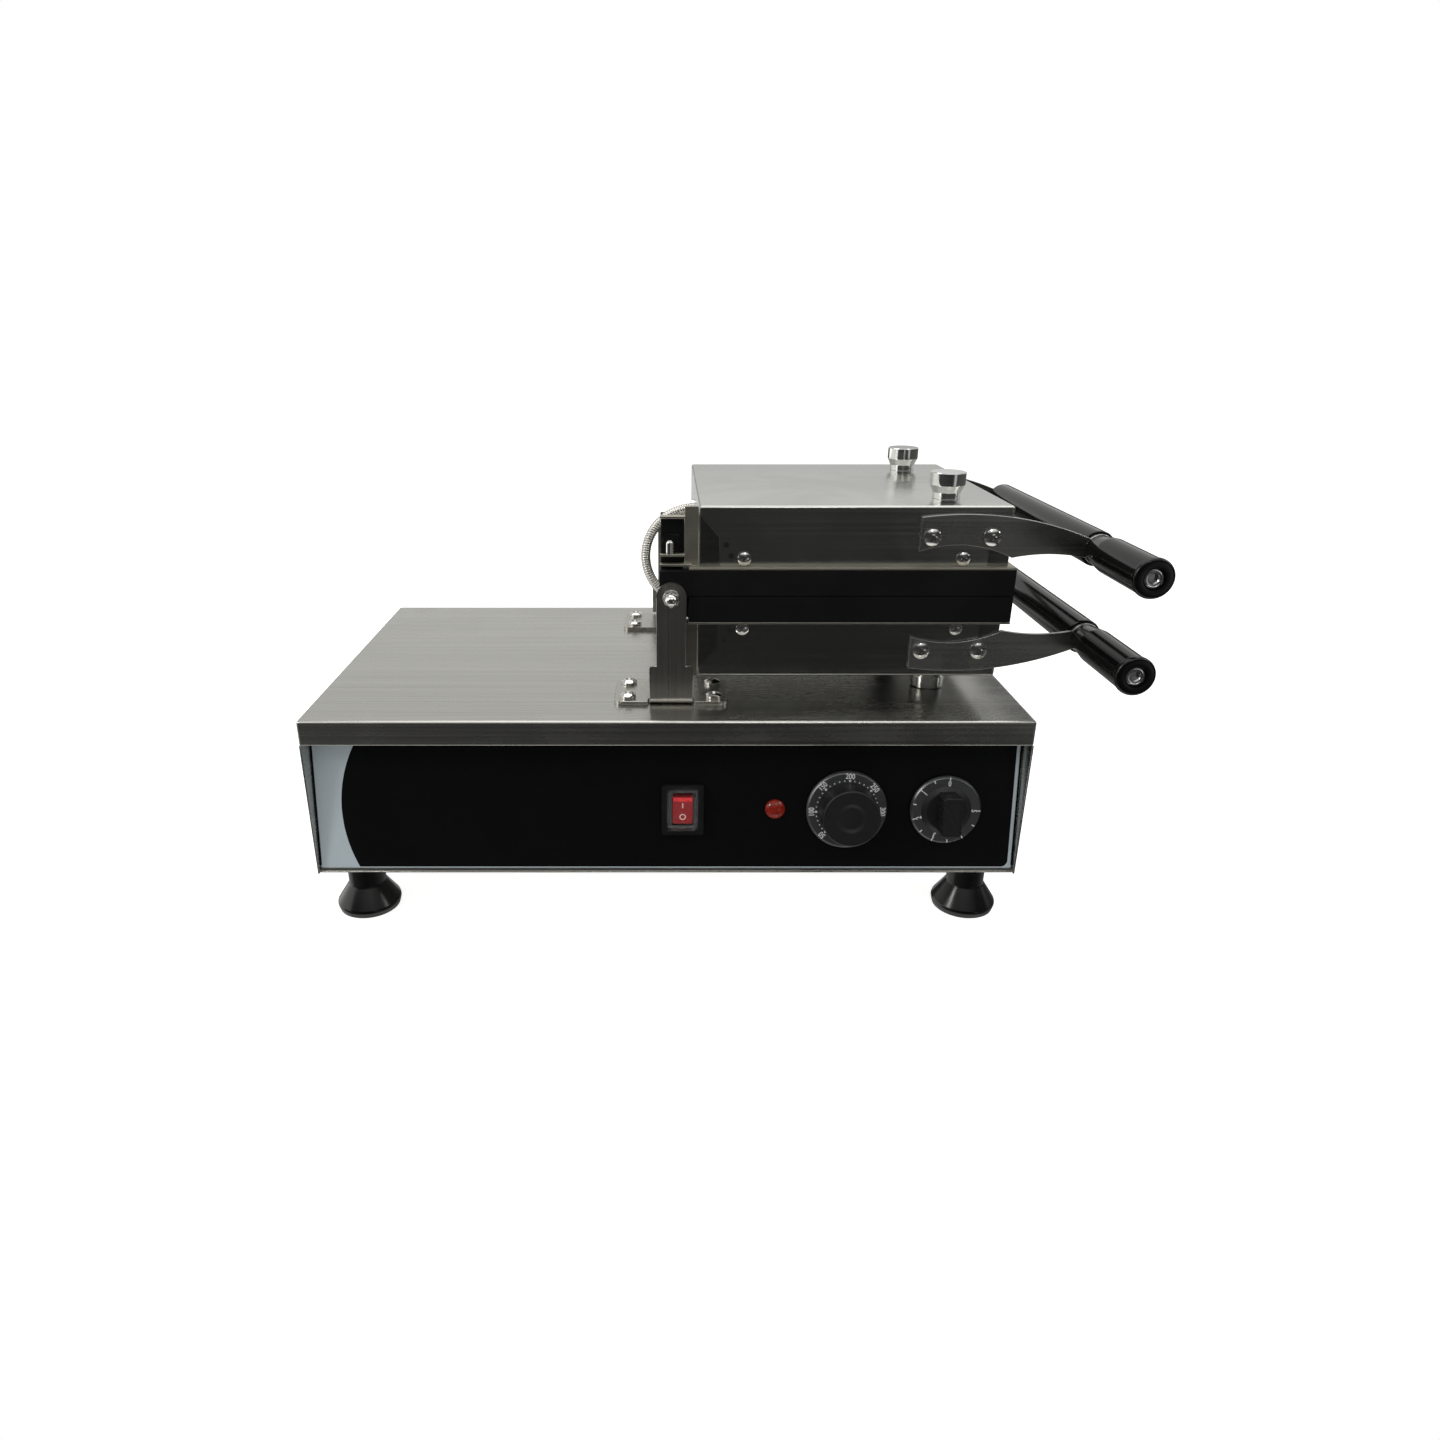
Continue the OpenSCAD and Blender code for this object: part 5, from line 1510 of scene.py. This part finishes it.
@dataclass
class IronHalf:
    """One half of the iron: its plate, cover, arms, handle and rests."""

    shop: Workshop
    side: Side
    cover_low: Triple = (19.5, -108.0, 20.8)
    cover_high: Triple = (241.1, 108.0, 63.0)
    sheet: float = 1.5
    fold: float = 2.0
    handle: Point = (303.0, 32.6)
    half_grip: float = 108.0
    grip_start: float = 111.1
    grip_radius: float = 12.75
    bolt_tail: float = 111.1
    flap_depth: float = 0.7
    post_at: Point = (201.0, 73.0)
    welds: tuple[Point, ...] = ((28.0, 38.0), (28.3, 29.0), (39.0, 35.6), (42.7, 27.6))

    @property
    def place(self) -> Matrix:
        """Returns the half's frame."""
        return LAYOUT.iron(self.side)

    def node(self, name: str) -> str:
        """Returns the full name of one of the half's CAD nodes."""
        return self.side.prefix + name

    def piece(self, name: str, shape: Shape, finish: Finish, node: str) -> None:
        """Makes a piece of the half.

        Args:
            name: the piece's name, without the half's.
            shape: the shape, in the half's frame.
            finish: its finish.
            node: the CAD node that it stands for, without the half's name.
        """
        self.shop.piece(
            self.node(name), shape, self.place, finish, self.side.body, [self.node(node)]
        )

    def build(self) -> None:
        """Builds the half."""
        upper = self.side is Side.UPPER
        self.copy("plate", CAST, 0.5, shortest=6.0, keep=lambda middle: middle.z > 1.0)
        # The lower half's mounting sheet takes the darker copy of the same steel, as painted shade.
        self.copy("mounting_sheet", MILL if upper else MILL_SHADED, 0.35, shortest=4.0)
        self.copy("arms", ARM, 0.4, shortest=1.5)
        self.cover()
        self.grips()
        self.posts()
        for node, size in (("cover_screws", SMALL_HEAD), ("arm_screws", LARGE_HEAD)):
            heads = screw_heads(self.node(node), self.place, size)
            self.piece(node[:-1] + "_heads", heads, CHROME, node)
        self.shop.dress(TUBE, self.node("heater"))
        self.shop.dress(BLANKET, self.node("insulation"))
        self.copy("stop_pin", TURNED, 0.0)
        self.copy("conduit_fitting" if upper else "conduit_fittings", CHROME, 0.0)

    def copy(self, node: str, finish: Finish, width: float, **limits: object) -> None:
        """Replaces one of the half's CAD nodes by a copy with softened edges.

        Args:
            node: the node, without the half's name.
            finish: its finish.
            width: width of the rounding along its edges.
            limits: which edges are rounded, as the workshop takes it.
        """
        self.shop.soft_copy(
            self.node(node), self.side.body, finish, width, self.place, **limits
        )

    def cover(self) -> None:
        """Builds the folded cover, with its corner flaps and the marks of their spot welds."""
        shell = open_box(self.cover_low, self.cover_high, self.sheet, self.fold)
        left, right = self.cover_low[0], self.cover_high[0]
        foot = self.cover_low[2] + 0.05
        flap = [(left + 0.8, 56.5), (left + 14.5, 41.0), (left + 15.3, foot), (left + 0.8, foot)]
        tab = [(right - 15.3, foot), (right - 14.9, 41.5), (right - 0.8, 56.5), (right - 0.8, foot)]
        dimple = [(0.0, -0.2), (2.0, -0.2), (2.0, 0.0), (1.7, 0.05), (1.1, 0.05), (0.0, 0.02)]
        thick = self.flap_depth
        leaves = Shape()
        for outline in (flap, tab):
            leaf = plate([outline], -0.2, thick)
            leaves.absorb(leaf.softened(0.25, keep=lambda middle: middle.z > thick - 0.1))
        for x, z in self.welds:
            at = Matrix.Translation((x, z, thick if x < left + 15.0 else 0.0))
            leaves.absorb(lathe(dimple, steps=24), at)
        flaps = Shape()
        lean = Matrix.Rotation(math.pi / 2, 4, "X")
        mirror = Matrix.Scale(-1, 4, (0.0, 1.0, 0.0))
        reach = self.cover_high[1]
        flaps.absorb(leaves, Matrix.Translation((0.0, -reach, 0.0)) @ lean)
        flaps.absorb(leaves, Matrix.Translation((0.0, reach, 0.0)) @ mirror @ lean)
        self.piece("corner_flaps", flaps, FLAP, "cover")
        # The lower half takes the darker copy of the same steel, as painted shade.
        finish = COVER if self.side is Side.UPPER else COVER_SHADED
        self.piece("folded_cover", shell, finish, "cover")

    def grips(self) -> None:
        """Builds the two grips on the handle, and the bolt through them."""
        reach, up = self.handle
        axis = Matrix.Translation((reach, 0.0, up)) @ Matrix.Rotation(math.pi / 2, 4, "X")
        half, r = self.half_grip, self.grip_radius
        middle = [(4.1, -half), (r - 1.4, -half), (r - 0.4, -half + 0.5), (r, -half + 1.6)]
        outline = middle + [(radius, -along) for radius, along in reversed(middle)]
        self.piece("middle_sleeve", lathe(outline, steps=72).moved(axis), GRIP, "middle_grip")
        start = self.grip_start
        front = [
            (4.1, 0.0), (10.2, 0.0), (10.75, 0.6), (10.75, 3.6), (11.1, 6.0), (11.9, 13.0),
            (12.35, 17.0), (12.6, 19.0), (r, 21.0), (r, 79.6), (r + 0.1, 80.2), (r + 0.45, 80.7),
            (r + 0.6, 81.2), (r + 0.6, 83.0), (r + 0.3, 84.0), (r - 0.5, 84.75), (r - 1.6, 85.0),
            (7.6, 85.0), (6.9, 84.7), (6.8, 84.2), (6.8, 79.0), (4.1, 79.0),
        ]
        outline = [(radius, along + start) for radius, along in front]
        self.piece("front_sleeve", lathe(outline, steps=72).moved(axis), GRIP, "front_grip")
        seat_at = start + 79.0
        tail = -self.bolt_tail
        bolt = lathe([
            (0.0, tail - 3.5), (4.6, tail - 3.5), (5.0, tail - 3.1), (6.5, tail - 0.3),
            (6.5, tail), (4.0, tail), (4.0, seat_at), (6.3, seat_at), (6.5, seat_at + 0.2),
            (6.5, seat_at + 4.3), (6.25, seat_at + 4.8), (5.8, seat_at + 5.0),
            (5.3, seat_at + 4.9), (4.9, seat_at + 4.5), (4.3, seat_at + 4.4),
            (3.7, seat_at + 4.4), (2.9, seat_at + 3.5), (0.0, seat_at + 3.5),
        ], steps=48)
        bolt.carved(prism(6, 5.6, seat_at + 1.4, seat_at + 6.0)).moved(axis)
        self.piece("socket_bolt", bolt, ZINC, "handle_bolt")

    def posts(self) -> None:
        """Builds the two turned rests on the cover."""
        top = self.cover_high[2]
        outline = [
            (0.0, top - 0.1), (9.9, top - 0.1), (10.2, top + 0.3), (10.2, 67.3), (10.35, 67.6),
            (12.6, 72.5), (12.75, 72.9), (12.75, 81.2), (12.2, 81.8), (0.0, 81.8),
        ]
        post = lathe(outline, steps=80)
        posts = Shape()
        x, y = self.post_at
        for toward in (-y, y):
            posts.absorb(post, Matrix.Translation((x, toward, 0.0)))
        self.piece("turned_posts", posts, TURNED, "posts")


# -------------------------------------------------------------- the hoses


@dataclass(frozen=True)
class Run:
    """A straight or an evenly bent stretch of hose, in millimetres."""

    length: float
    radius: float = 0.0
    towards: Triple = (0.0, 0.0, 1.0)


@dataclass
class Hose:
    """A metal hose that crosses a joint."""

    shop: Workshop
    node: str
    start: Triple
    heading: Triple
    runs: tuple[Run, ...]
    bodies: tuple[str, str]
    bend_start: Triple
    bend_end: Triple
    radius: float = 4.0

    def frame_at(self, along: float) -> Matrix:
        """Follows the hose.

        Args:
            along: distance from its start.

        Returns:
            Its own frame there, with z along it.
        """
        point, ahead = Vector(self.start), Vector(self.heading)
        across = ahead.orthogonal().normalized()
        for run in self.runs:
            step = min(max(along, 0.0), run.length)
            along -= run.length
            if run.radius:
                turn, towards = step / run.radius, Vector(run.towards)
                point += ahead * run.radius * math.sin(turn)
                point += towards * run.radius * (1 - math.cos(turn))
                spin = Matrix.Rotation(turn, 3, ahead.cross(towards))
                ahead, across = spin @ ahead, spin @ across
            else:
                point += ahead * step
        columns = (across, ahead.cross(across), ahead)
        return Matrix.Translation(point) @ Matrix(columns).transposed().to_4x4()

    def build(self) -> None:
        """Builds the hose along its runs."""
        length = sum(run.length for run in self.runs)
        hose = corrugated(length, self.radius)
        for vert in hose.bm.verts:
            vert.co = self.frame_at(vert.co.z) @ Vector((vert.co.x, vert.co.y, 0.0))
        place = LAYOUT.base()
        thing = self.shop.piece(
            self.node + "_wound", hose, place, HOSE, None, [self.node], weighted=False
        )
        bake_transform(thing)


def hoses(shop: Workshop) -> list[Hose]:
    """Lays out the two hoses.

    Args:
        shop: where they are made.

    Returns:
        The hose into the lower iron, and the one that passes the hinge.
    """
    x, z = LAYOUT.hinge_x, LAYOUT.pivot_z
    quarter = math.pi / 2
    feed = Hose(
        shop, "feed_conduit", (-0.5, -62.0, 148.0), (0.0, 0.0, 1.0),
        (
            Run(29.0), Run(32.0 * quarter, 32.0, (0.0, 1.0, 0.0)),
            Run(23.5 * quarter, 23.5, (1.0, 0.0, 0.0)), Run(6.0),
        ),
        ("lower_iron", "base"), (0.0, -9.0, 200.0), (0.0, -60.0, 200.0),
    )
    loop = Hose(
        shop, "hinge_conduit", (x + 25.5, 15.0, z + 40.0), (-1.0, 0.0, 0.0),
        (Run(6.0), Run(80.0 * quarter, 40.0, (0.0, 0.0, -1.0)), Run(6.0)),
        ("upper_iron", "lower_iron"), (x - 10.0, 15.0, z + 34.0), (x - 10.0, 15.0, z - 34.0),
    )
    return [feed, loop]


# ---------------------------------------------------- floor, light, camera


@dataclass(frozen=True)
class Softbox:
    """A soft rectangular lamp that looks at a point."""

    name: str
    at: Triple
    size: Point
    power: float
    aim: Triple = (0.0, 0.0, 0.2)
    colour: Triple = (1.0, 0.99, 0.97)

    def build(self) -> None:
        """Adds the lamp."""
        data = bpy.data.lights.new(self.name, "AREA")
        data.shape, data.energy, data.color = "RECTANGLE", self.power, self.colour
        data.size, data.size_y = self.size
        lamp = bpy.data.objects.new(self.name, data)
        lamp.location = self.at
        ahead = Vector(self.aim) - Vector(self.at)
        lamp.rotation_euler = ahead.to_track_quat("-Z", "Y").to_euler()
        bpy.context.scene.collection.objects.link(lamp)


@dataclass
class Studio:
    """The pale floor, the surroundings, the lamps and the camera."""

    floor_front: float = -0.42
    floor_back: float = 3.2
    floor_side: float = 3.0
    floor_glow: float = 0.84
    fill: float = 0.38
    floor_colour: Triple = (0.82, 0.82, 0.81)
    mirrored_front: tuple[Point, ...] = (
        (0.0, 0.028), (0.1, 0.03), (0.44, 0.045), (0.56, 0.35), (0.75, 0.95), (1.0, 0.7),
    )
    mirrored_back: tuple[Point, ...] = (
        (0.0, 0.06), (0.10, 0.16), (0.145, 0.86), (0.19, 0.88), (0.27, 0.64), (0.40, 0.58),
        (0.7, 0.45), (1.0, 0.5),
    )
    mirrored_level: tuple[Point, ...] = (
        (-180.0, 0.90), (-171.0, 0.80), (-164.0, 0.08), (-140.0, 0.08), (-132.0, 1.3), (-92.0, 1.3),
        (-80.0, 0.05), (5.0, 0.028), (18.0, 0.028), (22.0, 0.06), (28.0, 0.20), (32.0, 0.5),
        (38.0, 0.5), (46.0, 0.06), (112.0, 0.08), (164.0, 0.15), (172.0, 0.80), (180.0, 0.90),
    )
    mirrored_low: tuple[Point, ...] = (
        (-180.0, 0.20), (-150.0, 0.50), (-92.0, 0.60), (-78.0, 0.14), (-40.0, 0.10), (-20.0, 0.055),
        (0.0, 0.030), (10.0, 0.022), (30.0, 0.040), (60.0, 0.06), (100.0, 0.20), (140.0, 0.30),
        (180.0, 0.20),
    )
    mirrored_under: float = 0.8
    mirrored_left: float = 1.1
    to_back: Point = (-0.25, 0.3)
    to_left: Point = (-0.74, -0.88)
    to_level: Point = (-0.36, -0.22)
    to_under: Point = (-0.68, -0.84)
    to_above: Point = (-0.03, 0.06)
    lens: float = 24.67
    camera_offset: Triple = (-1.6, -803.0, 433.8)
    pitch: float = 22.14
    shift: Point = (0.0388, 0.0005)

    def build(self) -> None:
        """Sets up everything that isn't part of the machine."""
        self.floor()
        self.surroundings()
        for box in (
            Softbox("overhead_box", (0.1, 0.45, 1.7), (1.8, 1.1), 11.0),
            Softbox("left_box", (-1.3, -0.8, 1.15), (0.3, 0.7), 5.5),
            Softbox("right_box", (1.5, -0.5, 1.1), (0.3, 0.8), 2.5),
            Softbox("glint_box", (0.25, -1.3, 1.5), (0.25, 0.25), 1.0),
        ):
            box.build()
        self.camera()
        bpy.context.scene.view_settings.view_transform = "Standard"

    def floor(self) -> None:
        """Lays the floor, which shows nearly white and still takes the shadow."""
        shape = Shape()
        side, front, back = self.floor_side, self.floor_front, self.floor_back
        corners = ((-side, front), (side, front), (side, back), (-side, back))
        shape.bm.faces.new([shape.bm.verts.new((x, y, 0.0)) for x, y in corners])
        floor = as_object("studio_floor", shape)
        material = bpy.data.materials.new("studio_floor")
        material.use_nodes = True
        material.node_tree.nodes.clear()
        graph = Graph(material.node_tree)
        path = graph.add("ShaderNodeLightPath").outputs
        strength = graph.sum("MULTIPLY", path["Is Camera Ray"], self.floor_glow)
        matt = graph.add("ShaderNodeBsdfDiffuse", {"Color": lit(self.floor_colour)})
        glow = graph.add("ShaderNodeEmission", {"Color": lit(WHITE), "Strength": strength})
        both = graph.add("ShaderNodeAddShader", {0: matt.outputs[0], 1: glow.outputs[0]})
        unseen = graph.add("ShaderNodeBsdfTransparent")
        look = graph.add("ShaderNodeMixShader", {
            0: path["Is Glossy Ray"], 1: both.outputs[0], 2: unseen.outputs[0],
        })
        graph.add("ShaderNodeOutputMaterial", {"Surface": look.outputs[0]})
        floor.data.materials.append(material)

    def surroundings(self) -> None:
        """Sets a white backdrop, and softer, darker surroundings for what the metal mirrors."""
        world = bpy.data.worlds.new("studio")
        bpy.context.scene.world = world
        world.use_nodes = True
        world.node_tree.nodes.clear()
        graph = Graph(world.node_tree)
        path = graph.add("ShaderNodeLightPath").outputs
        way = graph.add("ShaderNodeTexCoord").outputs["Generated"]
        x, y, z = graph.add("ShaderNodeSeparateXYZ", {0: way}).outputs
        front = self.ramp(graph, z, self.mirrored_front)
        back = self.ramp(graph, z, self.mirrored_back)
        above = graph.tint(graph.step(y, *self.to_back), front, back)
        left = lit((1.0, 1.0, 0.98), self.mirrored_left)
        above = graph.tint(graph.step(x, *self.to_left), above, left)
        bearing = graph.sum("ARCTAN2", x, graph.sum("MULTIPLY", y, -1.0))
        turn = graph.sum("MULTIPLY_ADD", bearing, 0.5 / math.pi, 0.5)
        level = self.ramp(graph, turn, self.bearings(self.mirrored_level))
        low = self.ramp(graph, turn, self.bearings(self.mirrored_low))
        below = graph.tint(graph.step(z, *self.to_level), low, level)
        under = lit((1.0, 0.98, 0.93), self.mirrored_under)
        below = graph.tint(graph.step(z, *self.to_under), below, under)
        mirrored = graph.tint(graph.step(z, *self.to_above), below, above)
        felt = graph.tint(path["Is Glossy Ray"], lit(WHITE, self.fill), mirrored)
        seen = graph.sum("MAXIMUM", path["Is Camera Ray"], path["Is Transmission Ray"])
        colour = graph.tint(seen, felt, lit(WHITE))
        sky = graph.add("ShaderNodeBackground", {"Color": colour, "Strength": 1.0})
        graph.add("ShaderNodeOutputWorld", {"Surface": sky.outputs[0]})

    @staticmethod
    def bearings(stops: tuple[Point, ...]) -> list[Point]:
        """Returns ramp stops from values by bearing, in degrees to the right of straight ahead."""
        return [(degrees / 360.0 + 0.5, value) for degrees, value in stops]

    @staticmethod
    def ramp(graph: Graph, factor: Socket, stops: Sequence[Point]) -> Socket:
        """Adds a grey ramp.

        Args:
            graph: where it is added.
            factor: what it runs along.
            stops: position and value of each stop.

        Returns:
            The ramp's colour.
        """
        ramp = graph.add("ShaderNodeValToRGB", {0: factor})
        for index, (position, value) in enumerate(stops):
            if index < 2:
                stop = ramp.color_ramp.elements[index]
                stop.position = position
            else:
                stop = ramp.color_ramp.elements.new(position)
            stop.color = (value, value, value * 0.985, 1.0)
        return ramp.outputs[0]

    def camera(self) -> None:
        """Places the camera."""
        data = bpy.data.cameras.new("camera")
        data.lens, data.sensor_width = self.lens, 36.0
        data.shift_x, data.shift_y = self.shift
        camera = bpy.data.objects.new("camera", data)
        camera.location = LAYOUT.base() @ Vector(self.camera_offset)
        camera.rotation_euler = (math.radians(90.0 - self.pitch), 0.0, 0.0)
        bpy.context.scene.collection.objects.link(camera)
        bpy.context.scene.camera = camera


def main() -> None:
    """Builds the whole scene."""
    logging.basicConfig(level=logging.INFO, format="%(name)s %(message)s")
    Studio().build()
    shop = Workshop()
    Housing(shop).build()
    Controls(shop).build()
    HingeStand(shop).build()
    for side in Side:
        IronHalf(shop, side).build()
    for hose in hoses(shop):
        hose.build()
    LOG.info("made %d pieces", shop.count)


if __name__ == "__main__":
    main()
